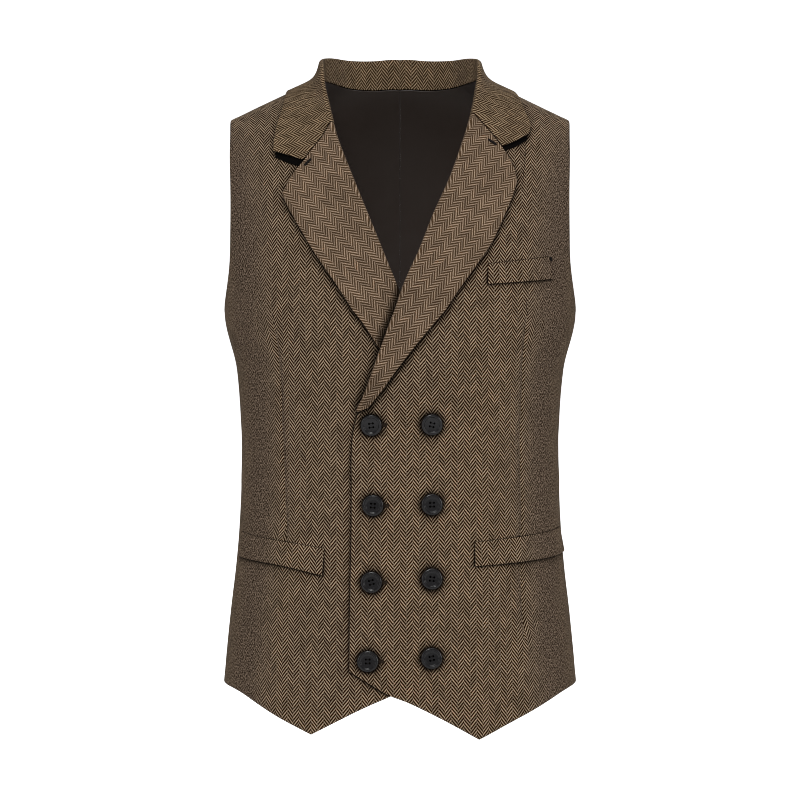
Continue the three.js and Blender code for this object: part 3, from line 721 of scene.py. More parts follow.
def tweedMaterial(name, look, turn=0.0):
    material, tree, surface = newMaterial(name)
    place = addNode(tree, "ShaderNodeUVMap", uv_map="weave").outputs[0]
    turned = addNode(tree, "ShaderNodeMapping", {
        "Vector": place, "Rotation": (0, 0, math.radians(turn)),
    }).outputs[0]
    weave = addNode(tree, "ShaderNodeGroup", {
        "Cloth Place": turned, "Column Width": look["columnWidth"],
        "Strand Pitch": look["strandPitch"], "Steepness": look["steepness"],
        "Softness": look["softness"], "Light Share": look["lightShare"], "Wander": look["wander"],
    }, node_tree=herringboneStrands)
    wool = addWool(tree, turned, look["fleckSize"], look["fleckStrength"], look["mottle"])
    tone = calculate(tree, "MULTIPLY_ADD", weave.outputs["Strand Tone"], *look["strandTones"])
    tone = calculate(tree, "MULTIPLY", tone, wool.outputs["Tone"])
    colour = mixColours(tree, weave.outputs["Light Strand"], look["darkYarn"], look["lightYarn"])
    colour = shaded(tree, colour, tone)
    slub = calculate(tree, "MULTIPLY", wool.outputs["Fleck"], weave.outputs["Strand Tone"])
    rust = ranged(tree, slub, look["rustSpan"], (0.0, look["rustShare"]), "LINEAR")
    colour = mixColours(tree, rust, colour, look["rustFleck"])

    # Painted fuzz sheen and side shade, placed by which way the cloth faces: a darker, greyer
    # speckle
    nap = addWool(tree, turned, look["fuzzSize"])
    speck = ranged(tree, nap.outputs["Fleck"], look["fuzzSpecks"], blend="LINEAR")
    fuzz = mixColours(tree, speck, look["paintedFuzzDark"], look["paintedFuzzLight"])
    normal = addNode(tree, "ShaderNodeTexCoord").outputs["Normal"]
    towards = addNode(tree, "ShaderNodeSeparateXYZ", {0: normal}).outputs
    sideways = calculate(tree, "ABSOLUTE", towards[0])
    share = ranged(tree, sideways, look["paintedFuzzSpan"], (0.0, look["paintedFuzzShare"]))
    for value, kind in ((sideways, "side"), (towards[1], "back")):
        less = ranged(tree, value, look[f"{kind}Span"], (1.0, look[f"{kind}Share"]))
        share = calculate(tree, "MULTIPLY", share, less)
    colour = mixColours(tree, share, colour, fuzz)

    # Painted shade: the colour darkens in creases, under lifted edges and round the buttons, by
    # ambient occlusion raised to a power
    unshadedShare = addNode(tree, "ShaderNodeAmbientOcclusion", {"Distance": look["paintedShadeReach"]},
                       samples=look["paintedShadeSamples"]).outputs["AO"]
    colour = shaded(tree, colour, calculate(tree, "POWER", unshadedShare, look["paintedShadePower"]))
    height = calculate(tree, "MULTIPLY_ADD", wool.outputs["Fleck"], look["fleckRelief"],
                       weave.outputs["Relief"])
    setInputs(tree, surface, {
        "Base Color": colour,
        "Normal": addBump(tree, height, look),
        "Roughness": look["roughness"],
        "Specular IOR Level": look["specular"],
        "Sheen Weight": look["sheen"],
        "Sheen Roughness": look["sheenRoughness"],
        "Sheen Tint": look["sheenTint"],
    })
    return material


# The lapels' copy of the tweed has lighter dark strands and darker light strands, so their
# strands stand out less
lapelTweed = {
    **tweed,
    "darkYarn": (0.058, 0.0344, 0.0178, 1),
    "lightYarn": (0.268, 0.195, 0.139, 1),
    "paintedFuzzShare": 0.3,
    "wander": 0.00042,
}
collarTweed = {
    **lapelTweed,
    "darkYarn": (0.03, 0.016, 0.0068, 1),
    "lightYarn": (0.271, 0.197, 0.124, 1),
}

lining = {
    "colour": (0.022, 0.0135, 0.0095, 1),
    "lightColour": (0.045, 0.029, 0.021, 1),
    "lightShare": 0.35,
    "threadPitch": 0.0004,
    "slubSize": 0.02,
    "slubStrength": 0.5,
    "bumpDistance": 0.00004,
    "bumpStrength": 0.5,
    "roughness": 0.42,
    "sheen": 0.1,
}


def liningMaterial(name, look):
    material, tree, surface = newMaterial(name)
    place = addNode(tree, "ShaderNodeUVMap", uv_map="weave").outputs[0]
    slubs = addWool(tree, place, look["slubSize"], look["slubStrength"]).outputs["Tone"]
    across = addNode(tree, "ShaderNodeSeparateXYZ", {0: place}).outputs[0]
    phase = calculate(tree, "DIVIDE", across, look["threadPitch"])
    rib = calculate(tree, "PINGPONG", phase, 1.0)
    share = calculate(tree, "MULTIPLY", rib, slubs)
    share = calculate(tree, "MULTIPLY", share, look["lightShare"])
    setInputs(tree, surface, {
        "Base Color": mixColours(tree, share, look["colour"], look["lightColour"]),
        "Normal": addBump(tree, rib, look),
        "Roughness": calculate(tree, "MULTIPLY", slubs, look["roughness"]),
        "Sheen Weight": look["sheen"],
    })
    return material


horn = {
    "colour": (0.0036, 0.0033, 0.0037, 1),
    "lightColour": (0.0085, 0.0078, 0.0088, 1),
    "grain": 0.0016,
    "grainStrength": 1.2,
    "mottle": 1.0,
    "bumpDistance": 0.00003,
    "bumpStrength": 0.6,
    "roughness": 0.2,
    "specular": 0.38,
}


def hornMaterial(name, look):
    material, tree, surface = newMaterial(name)
    place = addNode(tree, "ShaderNodeTexCoord").outputs["Object"]
    grain = addWool(tree, place, look["grain"], look["grainStrength"], look["mottle"]).outputs
    share = calculate(tree, "MULTIPLY", grain["Fleck"], grain["Tone"], clamp=True)
    setInputs(tree, surface, {
        "Base Color": mixColours(tree, share, look["colour"], look["lightColour"]),
        "Normal": addBump(tree, grain["Fleck"], look),
        "Roughness": calculate(tree, "MULTIPLY", grain["Tone"], look["roughness"]),
        "Specular IOR Level": look["specular"],
    })
    return material


thread = {
    "colour": (0.0085, 0.0075, 0.007, 1),
    "twist": 0.0005,
    "twistStrength": 1.4,
    "mottle": 0.3,
    "bumpDistance": 0.00006,
    "bumpStrength": 0.7,
    "roughness": 0.75,
    "specular": 0.06,
}
holeTwist = {**thread, "colour": (0.028, 0.019, 0.013, 1)}
# Near-black felt, which also serves as painted shadow in the collar's notches
felt = {**thread, "colour": (0.0022, 0.0018, 0.0016, 1), "twist": 0.0009, "roughness": 1.0}


def threadMaterial(name, look):
    material, tree, surface = newMaterial(name)
    place = addNode(tree, "ShaderNodeTexCoord").outputs["Object"]
    twist = addWool(tree, place, look["twist"], look["twistStrength"], look["mottle"]).outputs
    setInputs(tree, surface, {
        "Base Color": shaded(tree, look["colour"], twist["Tone"]),
        "Normal": addBump(tree, twist["Fleck"], look),
        "Roughness": look["roughness"],
        "Specular IOR Level": look["specular"],
    })
    return material


lapelTurn = 42  # degrees, from the fronts' weave
tweedCloth = tweedMaterial("brown herringbone tweed", tweed)
tweedLapelLeft = tweedMaterial("tweed turned on the left lapel", lapelTweed, lapelTurn)
tweedLapelRight = tweedMaterial("tweed turned on the right lapel", lapelTweed, -lapelTurn)
tweedCollar = tweedMaterial("tweed along the collar", collarTweed)
liningCloth = liningMaterial("dark brown satin lining", lining)
buttonHorn = hornMaterial("charcoal horn", horn)
darkThread = threadMaterial("dark brown thread", thread)
holeThread = threadMaterial("brown buttonhole twist", holeTwist)
notchShadowFelt = threadMaterial("black undercollar felt as painted notch shadow", felt)
print("materials ready")

# Fronts and backs

panels = {
    "rowEnds": np.array([0, 9, 16, 27.0]),  # rows to the break, the underarm and the shoulder
    "turnIn": 11,  # tweed turned in behind an edge before the lining starts
    "edgeRidge": 0.22,  # the turned-in allowance shows as a faint ridge
    "ridgeStart": (0.3, 2.5),
    "ridgeEnd": (6, 9),
    "sewn": 1000,  # a sewn edge counts as this far off, so it has no ridge
}
fronts = {
    "step": 4.6,  # millimetres between points
    "rowLength": 24,
    "width": 270,
    "columnEnds": (0, 7 / 16, 0.58, 1),  # front edge, hem point, dart, side
    "columnSteps": ([0, 2.0], [0, 0.7, 1.4, 2.4]),  # close together by the point and the dart
    "closeness": 3,
    "buttonDip": 0.7,  # the cloth sinks under a fastened button
    "dipWidth": 10,
    "dartTroughs": ((0.55, 1.5), (0.5, 12)),  # depth and width of a fine line in a soft hollow
    "dartFades": (30, 45),  # over the bottom and the top
    "dartIntake": 7,
    "flat": (0.31, 0.67),
    "area": 0.137,
}
# Darts from top to bottom, as seen from the front: x, z. Their first and last rows only
# carry the line on to the shoulder and the hem.
darts = {
    "left": {"line": [(114, -60), (119, -245), (116, -300), (115.5, -420), (113.5, -447),
                      (113.5, -470), (118, -545), (121, -640)],
             "top": -222, "bottom": -545},
    "right": {"line": [(-115, -60), (-120, -228), (-112, -335), (-109, -400), (-107, -447),
                       (-107, -470), (-106, -530), (-106, -640)],
              "top": -228, "bottom": -462},
}
buttonPlaces = {
    "outer": [(-26.7, -335.5), (-25.2, -411.2), (-26.6, -483.3), (-29.9, -557.2)],
    "inner": [(29.7, -334.9), (29.7, -410.3), (29.7, -480.1), (29.4, -554.4)],
}


def edgeRidge(distance):
    rise = ease(distance, *panels["ridgeStart"])
    return panels["edgeRidge"] * rise * (1 - ease(distance, *panels["ridgeEnd"]))


def buttonDips(at):
    dips = np.zeros(at.shape[:-1])
    for places in buttonPlaces.values():
        for x, z in places:
            distance = np.linalg.norm(at - frontPlace(x, z), axis=-1)
            dips -= fronts["buttonDip"] * np.exp(-(distance / fronts["dipWidth"]) ** 2)
    return dips


def rowsUp(look):
    perRow = look["rowLength"]
    return spread(panels["rowEnds"][-1] * perRow, look["step"]) / perRow


def columnsAcross(look):
    ends, width = look["columnEnds"], look["width"]
    close = [edgeSteps, *[np.array(steps) for steps in look["columnSteps"]], edgeSteps]
    columns = [np.zeros(1)]
    for i, (low, high) in enumerate(zip(ends, ends[1:])):
        part = low + spread((high - low) * width, look["step"], close[i], close[i + 1]) / width
        columns.append(part[1:])
    return np.concatenate(columns)


# The side seam and then the armhole, a place for each row
def sideEdge(angle, armhole, tip, rowAt):
    _, toBreak, toArm, toShoulder = panels["rowEnds"]
    places = roundPlace(*np.array(armhole, float).T)
    places[0, 0] = angle * reach
    bottom = placeAt(angle, cut["sideHemZ"] - chestZ)
    seam = straightPath(bottom, places[0])
    seamBreak = (breakRise - bottom[1]) / (places[0, 1] - bottom[1])
    seamPart = pointAt(seam, np.interp(rowAt, [0, toBreak, toArm], [0, seamBreak, 1]))
    armShare = np.clip((rowAt - toArm) / (toShoulder - toArm), 0, 1)
    armPart = pointAt(pathThrough(np.vstack([places, tip])), armShare)
    return np.where((rowAt <= toArm)[:, None], seamPart, armPart)


# The side seam is sewn up to the underarm. The other sewn edges are numbered as fromEdges
# lists them.
def panelPiece(name, node, grid, rowAt, sewnEdges, out, weaveShift=None):
    edges = fromEdges(surfacePoint(grid))
    edges[1, rowAt <= panels["rowEnds"][2]] = panels["sewn"]
    edges[sewnEdges] = panels["sewn"]
    free = edges.min(axis=0)
    half = cut["cloth"] / 2
    inside = (free[:-1, :-1] > panels["turnIn"]).astype(np.int32)
    piece = laidCloth(name, grid, out + edgeRidge(free) + unevenness(grid) - half, half,
                      weaveAt(grid), [tweedCloth, liningCloth], inside=inside,
                      weaveShift=weaveShift)
    layPiece(piece, node)


def frontPiece(name, node, side, path, hem, skirt, lift, dart):
    rowAt = rowsUp(fronts)
    climb = rowAt / panels["rowEnds"][-1]
    angle = math.radians(cut["sideSeam"]) - cut["seamGap"] / 2 / reach
    tip = placeAt(math.radians(cut["shoulderTip"]), archRise)
    outer = sideEdge(angle, cut["armholeFront"], tip, rowAt)
    outer = outer if side > 0 else mirrored(outer)
    stops = [0, *[shareAtRise(path, rise) for rise in (breakRise, vRise, archRise)]]
    inner = pointAt(path, np.interp(rowAt, panels["rowEnds"], stops))
    hemPath = pathThrough(frontPlaces(hem))
    skirtPath = pathThrough(np.vstack([frontPlaces(skirt), outer[0]]))
    _, hemShare, dartShare, _ = fronts["columnEnds"]
    hemLine = joinedLine(hemPath, skirtPath, hemShare)
    shoulder = straightPath(inner[-1], outer[-1])

    def sheetAt(shares):
        return sheetBetween(inner, outer, hemLine, lambda share: pointAt(shoulder, share),
                            shares, climb, fronts["closeness"])

    # In every row the dart's column is moved onto the dart
    columns = columnsAcross(fronts)
    dartColumn = abs(columns - dartShare).argmin()
    dartPlaces = frontPlaces(dart["line"])[::-1]
    shares = []
    for places in sheetAt(np.broadcast_to(columns, (len(rowAt), len(columns)))):
        across = np.interp(places[:, 1], dartPlaces[:, 1], dartPlaces[:, 0])
        crossing = np.interp(0, (places[:, 0] - across) * side, columns)
        shares.append(np.interp(columns, fronts["columnEnds"], [0, hemShare, crossing, 1]))
    grid = sheetAt(np.array(shares))
    grid[-1, :, 1] = archRise - cut["shoulderGap"] / 2

    surface = surfacePoint(grid)
    z = surface[..., 2]
    bottomFade, topFade = fronts["dartFades"]
    inDart = ease(z, dart["bottom"], dart["bottom"] + bottomFade)
    inDart = inDart * (1 - ease(z, dart["top"] - topFade, dart["top"]))
    fromDart = np.linalg.norm(surface - surface[:, dartColumn:dartColumn + 1], axis=-1)
    out = lift(grid)
    for depth, width in fronts["dartTroughs"]:
        out = out - depth * np.exp(-(fromDart / width) ** 2) * inDart
    if side > 0:
        out = out + buttonDips(grid)
    cells = (grid.shape[0] - 1, grid.shape[1] - 1)
    past = np.broadcast_to(np.arange(cells[1]) >= dartColumn, cells)
    intake = fronts["dartIntake"] * side * inDart
    panelPiece(name, node, grid, rowAt, [3], out,
               (intake, past))


frontPiece("frontLeft", "front_left", 1, leftEdgePath, cut["leftHem"], cut["leftSkirt"],
           lapLift, darts["left"])
frontPiece("frontRight", "front_right", -1, rightEdgePath, cut["rightHem"], cut["rightSkirt"],
           onBody, darts["right"])
print("fronts ready")

backs = {
    "step": 4.8,
    "rowLength": 23,
    "width": 250,
    "columnEnds": (0, 8 / 13, 1),  # centre seam, neck, shoulder tip
    "columnSteps": ([0, 1.0, 2.0],),
    "closeness": 2,
    "neckPoints": 200,
    "flat": (0.275, 0.61),
    "area": 0.113,
}


def backPiece(name, node, side):
    rowAt = rowsUp(backs)
    climb = rowAt / panels["rowEnds"][-1]
    angle = math.radians(cut["sideSeam"]) + cut["seamGap"] / 2 / reach
    centre = math.pi - cut["seamGap"] / 2 / reach
    tip = placeAt(math.pi - math.radians(cut["shoulderTip"]), archRise)
    outer = sideEdge(angle, cut["armholeBack"], tip, rowAt)
    neckRise = 2 * archRise - planPlace(0, cut["backNeck"][-1][1])[1]
    centreEnds = [placeAt(centre, rise) for rise in (cut["backHemZ"] - chestZ, neckRise)]
    inner = pointAt(straightPath(*centreEnds), climb)
    hem = straightPath(inner[0], outer[0])

    # The neck is the front edge's own line behind the shoulder, seen from behind
    fromNeck = np.linspace(1, shareAtRise(leftEdgePath, archRise), backs["neckPoints"])
    neckLine = placeAt(math.pi, 2 * archRise) - pointAt(leftEdgePath, fromNeck)
    neckLine[0, 0] = centre * reach
    shoulder = straightPath(neckLine[-1], tip)
    top = joinedLine(measured(neckLine), shoulder, backs["columnEnds"][1])

    columns = columnsAcross(backs)
    shares = np.broadcast_to(columns, (len(rowAt), len(columns)))
    grid = sheetBetween(inner, outer, lambda share: pointAt(hem, share), top, shares, climb,
                        backs["closeness"])
    grid[-1, :, 1] = np.minimum(grid[-1, :, 1], archRise - cut["shoulderGap"] / 2)
    grid = grid if side > 0 else mirrored(grid)
    panelPiece(name, node, grid, rowAt, [0, 3], onBody(grid))


backPiece("backLeft", "back_left", 1)
backPiece("backRight", "back_right", -1)
print("backs ready")

# Lapels and collar

folds = {
    "standShares": np.array([0, 0.03, 0.1, 0.22, 0.4, 0.6, 0.8]),  # points up to the turn
    "turnPoints": 12,
    "turnRounds": 5,
    "leastTurn": 0.2,
    "leafPoints": 24,
    "leafPower": 1.6,
    "leafEnd": 2.6,  # from here the points close up to the leaf's edge
    "edgePoints": np.array([2.0, 1.2, 0.75, 0.35, 0.1, 0]),
    "awayShare": 0.06,
}
lapels = {
    "step": 4,
    "rollHeight": 5,
    "rollReach": 8,
    "closeness": 3,
    "liftChange": (0.55, 0.85),  # between the two heights of the outer edge
    "waveHeight": 0.35,
    "waveSpan": (0.1, 0.5),
    "waveLength": 31,
}
gorges = {
    "left": {
        "rollZ": -43,
        "seam": [(80.7, -54.5), (89, -64), (96, -73.5)],
        "collarEnd": [(109, -68), (121, -61.6)],
        "lapelTop": [(102.2, -84), (107.4, -96), (109.2, -108)],
        "collarEdge": [(121, -61.6), (123, -53), (119.3, -38)],
        "lapelEdge": [(109.2, -108), (106.5, -118), (98.3, -137.7), (85.2, -166), (72.2, -185),
                      (46.4, -222), (13.9, -261), (-18.6, -305), (-29.5, -319)],
        "lapelEndZ": -323,
        "rollEnd": {"height": 3.8, "start": 0.6, "end": 1},
        "edgeLift": (3.0, 3.5),
        "flat": (0.085, 0.31),
        "area": 0.0155,
    },
    "right": {
        "rollZ": -51,
        "seam": [(-75.2, -66.5), (-82.8, -76), (-90, -87)],
        "collarEnd": [(-104, -82.5), (-118.6, -78.5)],
        "lapelTop": [(-96.5, -95), (-102.5, -104.5), (-109.7, -119.4)],
        "collarEdge": [(-118.6, -78.5), (-117.3, -56), (-112.6, -34)],
        "lapelEdge": [(-109.7, -119.4), (-106.5, -128), (-82, -171.3), (-59.6, -204.3),
                      (-37.2, -237), (-18.6, -264), (2, -284)],
        "lapelEndZ": -289,
        "rollEnd": {"height": 2.7, "start": 0.4, "end": 0.62},
        "edgeLift": (3.6, 1.0),  # flatter where the left front lies over it
        "flat": (0.085, 0.26),
        "area": 0.0135,
    },
}
collarLook = {
    "step": 3.4,
    "sideHeight": 16,
    "sideShare": 0.34,
    "backHeight": 28.5,
    "backShare": 0.3,
    "reach": 4,
    "rest": 0.2,
    "cornerLift": 4,
    "cornerShare": 0.16,
    "closeness": 5,
    "waveHeight": 0.25,
    "waveSpan": (0.2, 0.8),
    "waveLengths": (23, 31),
    "bandFall": math.tan(math.radians(7)),  # the weave's level bands fall towards the shoulder
    "bandTurn": (-10, 75),  # over this depth they turn from crossing the collar to lying level
    "bandStretch": 1.2,
    "back": [(108, 5), (104, 29), (88, 52), (62, 67), (32, 74), (0, 76)],
    "flat": (0.47, 0.085),
    "area": 0.0265,
}


# Section of a folded piece: up beside the edge, over, and down to rest on the panel
def foldSection(height, width, dieAway, rest):
    cloth = cut["cloth"]
    stand = cut["neckGap"] + cloth / 2
    leaf = cut["restGap"] + cloth / 2
    turnRadius = (stand + leaf) / 2
    turnRise = min(turnRadius, max(height - cloth / 2 - leaf, folds["leastTurn"]))
    turnHeight = height - cloth / 2 - turnRise
    # The turn ends where its slope meets the leaf's
    last = math.pi / 2
    for _ in range(folds["turnRounds"]):
        slope = (turnHeight + turnRise * math.sin(last) - leaf) / dieAway
        last = math.atan2(turnRise, slope * turnRadius)
    climbing = folds["standShares"] * (turnHeight + cloth) - cloth
    up = np.stack([np.full(len(climbing), -stand), climbing], axis=-1)
    turns = np.linspace(math.pi, last, folds["turnPoints"] + 1)
    over = np.stack([(leaf - stand) / 2 + turnRadius * np.cos(turns),
                     turnHeight + turnRise * np.sin(turns)], axis=-1)
    startX, startY = over[-1]
    fall = width - startX
    shares = np.linspace(0, 1, folds["leafPoints"] + 1)[1:] ** folds["leafPower"]
    out = np.concatenate([shares * (fall - folds["leafEnd"]), fall - folds["edgePoints"]])
    extra = (startY - leaf) * np.exp(-out / dieAway)
    down = np.stack([startX + out, leaf + extra + rest * (out / fall) ** 2], axis=-1)
    return np.vstack([up, over, down])


# The drape says how a folded piece lies, each a function of the share of its length
def foldedPiece(name, inner, outer, startLine, endLine, climb, drape, materials):
    def sheetAt(shares):
        return sheetBetween(inner, outer, startLine, endLine, shares, climb, drape["closeness"])

    ends = sheetAt(np.broadcast_to([0, folds["awayShare"], 1.0], (len(climb), 3)))
    lift = drape["lift"]
    surface = surfacePoint(ends) + outward(ends) * lift(ends)[..., None]
    widths = np.linalg.norm(surface[:, -1] - surface[:, 0], axis=-1)
    sections = np.array([
        foldSection(drape["height"](t), width, drape["dieAway"](t), drape["rest"](t))
        for t, width in zip(climb, widths)
    ])
    x, y = sections[..., 0], sections[..., 1]
    places = sheetAt(np.clip(x / widths[:, None], 0, 1))
    edge = np.gradient(surfacePoint(ends[:, 0]), axis=0)
    foot = outward(ends[:, 0])
    away = unit(np.cross(edge, foot))
    away *= np.sign(np.sum(away * (surface[:, 1] - surface[:, 0]), axis=-1))[:, None]
    upright = np.array([drape["upright"](t) for t in climb])[:, None]
    up = unit(foot + (np.array([0, 0, 1.0]) - foot) * upright)
    along = np.gradient(sections, axis=1)
    turned = unit(np.stack([-along[..., 1], along[..., 0]], axis=-1))
    base = bodyPoint(places, lift(places))

    def carried(section):
        sx, sy = section[..., 0], section[..., 1]
        rise = np.where((y > 0)[..., None], up[:, None], foot[:, None]) * sy[..., None]
        return base + away[:, None] * (np.minimum(x, 0) + sx - x)[..., None] + rise

    distance = fromEdges(carried(sections)).min(axis=0)
    half = (cut["cloth"] / 2 * pillow(distance))[..., None]
    waves = drape["waves"](places, x, widths[:, None])
    raised = sections + np.stack([0 * waves, waves], axis=-1)
    faces = [carried(raised + turned * half * side) for side in (1, -1)]
    lengths = np.linalg.norm(np.diff(sections, axis=1), axis=-1).cumsum(1)
    lengths = np.concatenate([np.zeros_like(lengths[:, :1]), lengths], axis=1)
    weave = drape["weave"](places, lengths, x, faces[0])
    return clothPiece(name, faces[0], faces[1], weave, materials)


def gorgeRise(path, gorge):
    toSeam = path["shares"] <= shareAtRise(path, archRise)
    z = surfacePoint(path["line"][toSeam])[:, 2]
    share = np.interp(gorge["rollZ"], z, path["shares"][toSeam])
    return pointAt(path, share)[1]


def lowered(points, drop):
    return frontPlaces([(x, z - drop) for x, z in points])


def endLineOf(first, second):
    a, b = pathThrough(first), pathThrough(second)
    return joinedLine(a, b, a["length"] / (a["length"] + b["length"]))


def lapelPiece(name, node, side, path, gorge, lift, materials):
    start = shareAtRise(path, gorgeRise(path, gorge) - cut["gorgeRollGap"] / 2)
    stop = shareAtRise(path, gorge["lapelEndZ"] - chestZ)
    length = path["length"] * (start - stop)
    climb = spread(length, lapels["step"]) / length
    inner = pointAt(path, mixed(start, stop, climb))
    outer = pointAt(pathThrough(frontPlaces(gorge["lapelEdge"])), climb)
    seam = np.vstack([inner[0], lowered(gorge["seam"], cut["gorgeGap"] / 2)])
    free = np.vstack([seam[-1], frontPlaces(gorge["lapelTop"])])
    bottom = straightPath(inner[-1], outer[-1])
    rollEnd = gorge["rollEnd"]

    def height(share):
        ending = ease(share, rollEnd["start"], rollEnd["end"])
        return mixed(lapels["rollHeight"], rollEnd["height"], ending)

    def rest(share):
        return mixed(*gorge["edgeLift"], ease(share, *lapels["liftChange"]))

    def waves(places, x, widths):
        size = lapels["waveHeight"] * ease(x / widths, *lapels["waveSpan"])
        return size * np.sin(places[..., 1] / lapels["waveLength"] + side)

    # Round the fold the cloth is longer than the body under it
    def flatWeave(places, lengths, x, _):
        weave = weaveAt(places)
        edge = np.gradient(weave[:, :1], axis=0)
        across = unit(edge[..., ::-1] * np.array([1, -1]))
        across *= np.sign(np.sum(across * (weave[:, -1:] - weave[:, :1]), axis=-1, keepdims=True))
        extra = lengths[:, -1:] - lengths - (x[:, -1:] - np.maximum(x, 0))
        return weave - across * extra[..., None]

    drape = {
        "lift": lift, "height": height, "rest": rest, "waves": waves, "weave": flatWeave,
        "dieAway": lambda share: lapels["rollReach"], "upright": lambda share: 0,
        "closeness": lapels["closeness"],
    }
    piece = foldedPiece(name, inner, outer, endLineOf(seam, free),
                        lambda share: pointAt(bottom, share), climb, drape, materials)
    layPiece(piece, node)


lapelPiece("lapelLeft", "lapel_left", 1, leftEdgePath, gorges["left"], lapLift, [tweedLapelLeft])
lapelPiece("lapelRight", "lapel_right", -1, rightEdgePath, gorges["right"], onBody,
           [tweedLapelRight])


def collarPiece(name, node):
    halves = {}
    edges = ((-1, rightEdgePath, gorges["right"]), (1, leftEdgePath, gorges["left"]))
    for side, path, gorge in edges:
        start = shareAtRise(path, gorgeRise(path, gorge) + cut["gorgeRollGap"] / 2)
        behind = planPlace(*np.array(collarLook["back"], float).T)
        behind = behind if side > 0 else mirrored(behind)
        outerPath = pathThrough(np.vstack([frontPlaces(gorge["collarEdge"]), behind]))
        first = pointAt(path, start)
        seam = np.vstack([first, lowered(gorge["seam"], -cut["gorgeGap"] / 2)])
        free = np.vstack([seam[-1], frontPlaces(gorge["collarEnd"])])
        halves[side] = (path, start, outerPath, endLineOf(seam, free))
    length = 2 * halves[1][0]["length"] * (1 - halves[1][1])
    climb = spread(length, collarLook["step"]) / length
    t = np.minimum(climb, 1 - climb) * 2
    right, left = halves[-1], halves[1]
    isRight = (climb <= 0.5)[:, None]

    def bothSides(index, startOf):
        rightPoints = pointAt(right[index], mixed(startOf(right), 1, t))
        leftPoints = pointAt(left[index], mixed(startOf(left), 1, t))
        return np.where(isRight, rightPoints, leftPoints)

    inner = bothSides(0, lambda half: half[1])
    outer = bothSides(2, lambda half: 0)

    def fromEnd(share):
        return 1 - abs(2 * share - 1)

    def beside(share):
        return ease(fromEnd(share), 0, collarLook["sideShare"])

    def height(share):
        low = mixed(lapels["rollHeight"], collarLook["sideHeight"], beside(share))
        behind = ease(fromEnd(share), collarLook["backShare"], 1)
        return mixed(low, collarLook["backHeight"], behind)

    def rest(share):
        corner = 1 - ease(fromEnd(share), 0, collarLook["cornerShare"])
        return collarLook["rest"] + collarLook["cornerLift"] * corner

    def waves(places, x, widths):
        size = collarLook["waveHeight"] * ease(x / widths, *collarLook["waveSpan"])
        upLength, roundLength = collarLook["waveLengths"]
        return size * np.sin(places[..., 1] / upLength + places[..., 0] / roundLength)

    # Behind the neck the weave's columns cross the collar, and in front they lie level
    def flatWeave(places, lengths, x, points):
        strip = points[:, points.shape[1] // 2]
        run = np.concatenate([[0], np.linalg.norm(np.diff(strip, axis=0), axis=-1).cumsum()])
        run -= run[-1] / 2
        rise = points[..., 2] + collarLook["bandFall"] * abs(points[..., 0])
        fall = rise[:, rise.shape[1] // 2, None] - rise
        level = ease(-strip[:, 1], *collarLook["bandTurn"]) * np.sign(run)
        across = run[:, None] + fall * level[:, None] * collarLook["bandStretch"]
        return np.stack([across, lengths], axis=-1)

    drape = {
        "lift": onBody, "height": height, "rest": rest, "waves": waves, "weave": flatWeave,
        "dieAway": lambda share: mixed(lapels["rollReach"], collarLook["reach"], beside(share)),
        "upright": beside, "closeness": collarLook["closeness"],
    }
    piece = foldedPiece(name, inner, outer, right[3], left[3], climb, drape, [tweedCollar])
    layPiece(piece, node)


collarPiece("collarCloth", "collar")
print("lapels and collar ready")

# Pocket welts

welts = {
    "step": 3,
    "weaveShift": (1.4, 0.9),
    "topCloth": 0.5,  # a welt thins to this at its top, where it folds into the pocket
    "topGap": 0.12,
    "chest": {
        "name": "chestWelt", "node": "chest_welt",
        "on": "frontLeft", "lift": lapLift,
        "lower": [(82.2, -203.2), (112, -200.8), (144.3, -197.1)],
        "upper": [(82.8, -184.1), (112, -180.5), (141.5, -176)],
        "flat": (0.082, 0.0225), "area": 0.0018,
    },
    "right": {
        "name": "pocketWeltRight", "node": "pocket_welt_right",
        "on": "frontRight", "lift": onBody,
        "lower": [(-72.8, -477.3), (-112.2, -468.6), (-153.9, -461.3)],
        "upper": [(-71.3, -451.8), (-107, -446.3), (-151.4, -437.7)],
        "flat": (0.135, 0.0275), "area": 0.0035,
    },
    "left": {
        "name": "pocketWeltLeft", "node": "pocket_welt_left",
        "on": "frontLeft", "lift": lapLift,
        "lower": [(69.9, -468.6), (105.6, -466), (156.4, -457.5)],
        "upper": [(69.9, -445.9), (97.9, -443.2), (153.6, -433.2)],
        "flat": (0.14, 0.026), "area": 0.0034,
    },
}


# Places in a strip between a lower and an upper line, and how far up each row lies
def stripPlaces(lines, step, depth=None, rim=edgeSteps):
    lower, upper = [pathThrough(frontPlaces(lines[line])) for line in ("lower", "upper")]
    across = spread(lower["length"], step, rim, rim) / lower["length"]
    depth = depth or np.linalg.norm(upper["line"][0] - lower["line"][0])
    up = (spread(depth, step, rim, rim) / depth)[:, None]
    return mixed(pointAt(lower, across)[None], pointAt(upper, across)[None], up[..., None]), up


def weltPiece(welt):
    places, up = stripPlaces(welt, welts["step"])
    half = mixed(cut["cloth"], welts["topCloth"], up) / 2
    gap = mixed(cut["restGap"], welts["topGap"], up)
    out = welt["lift"](places) + gap + half + unevenness(places)
    weave = weaveAt(places) + np.array(welts["weaveShift"])
    piece = laidCloth(welt["name"], places, out, half, weave, [tweedCloth])
    layPiece(piece, welt["node"])


for key in ("chest", "right", "left"):
    weltPiece(welts[key])
print("welts ready")

# Undercollar felt, near black so that it is also painted shadow in the notches, which peeps out
# under the collar's front ends: x, z
undercollar = {
    "cloth": 0.8,
    "gap": 0.25,
    "step": 2,
    "depth": 12.0,
    "rim": np.array([0, 0.1, 0.3, 0.6]),
    "round": 0.5,
    "left": {"upper": [(97.5, -68), (108, -63.5), (118.6, -58.5)],
             "lower": [(96.8, -76.8), (109.5, -71.6), (120.4, -65)]},
    "right": {"upper": [(-91.5, -81), (-104, -77), (-116.5, -75)],
              "lower": [(-92.6, -92), (-106, -87.4), (-118, -82)]},
    "flat": (0.032, 0.014),
    "area": 0.0003,
}


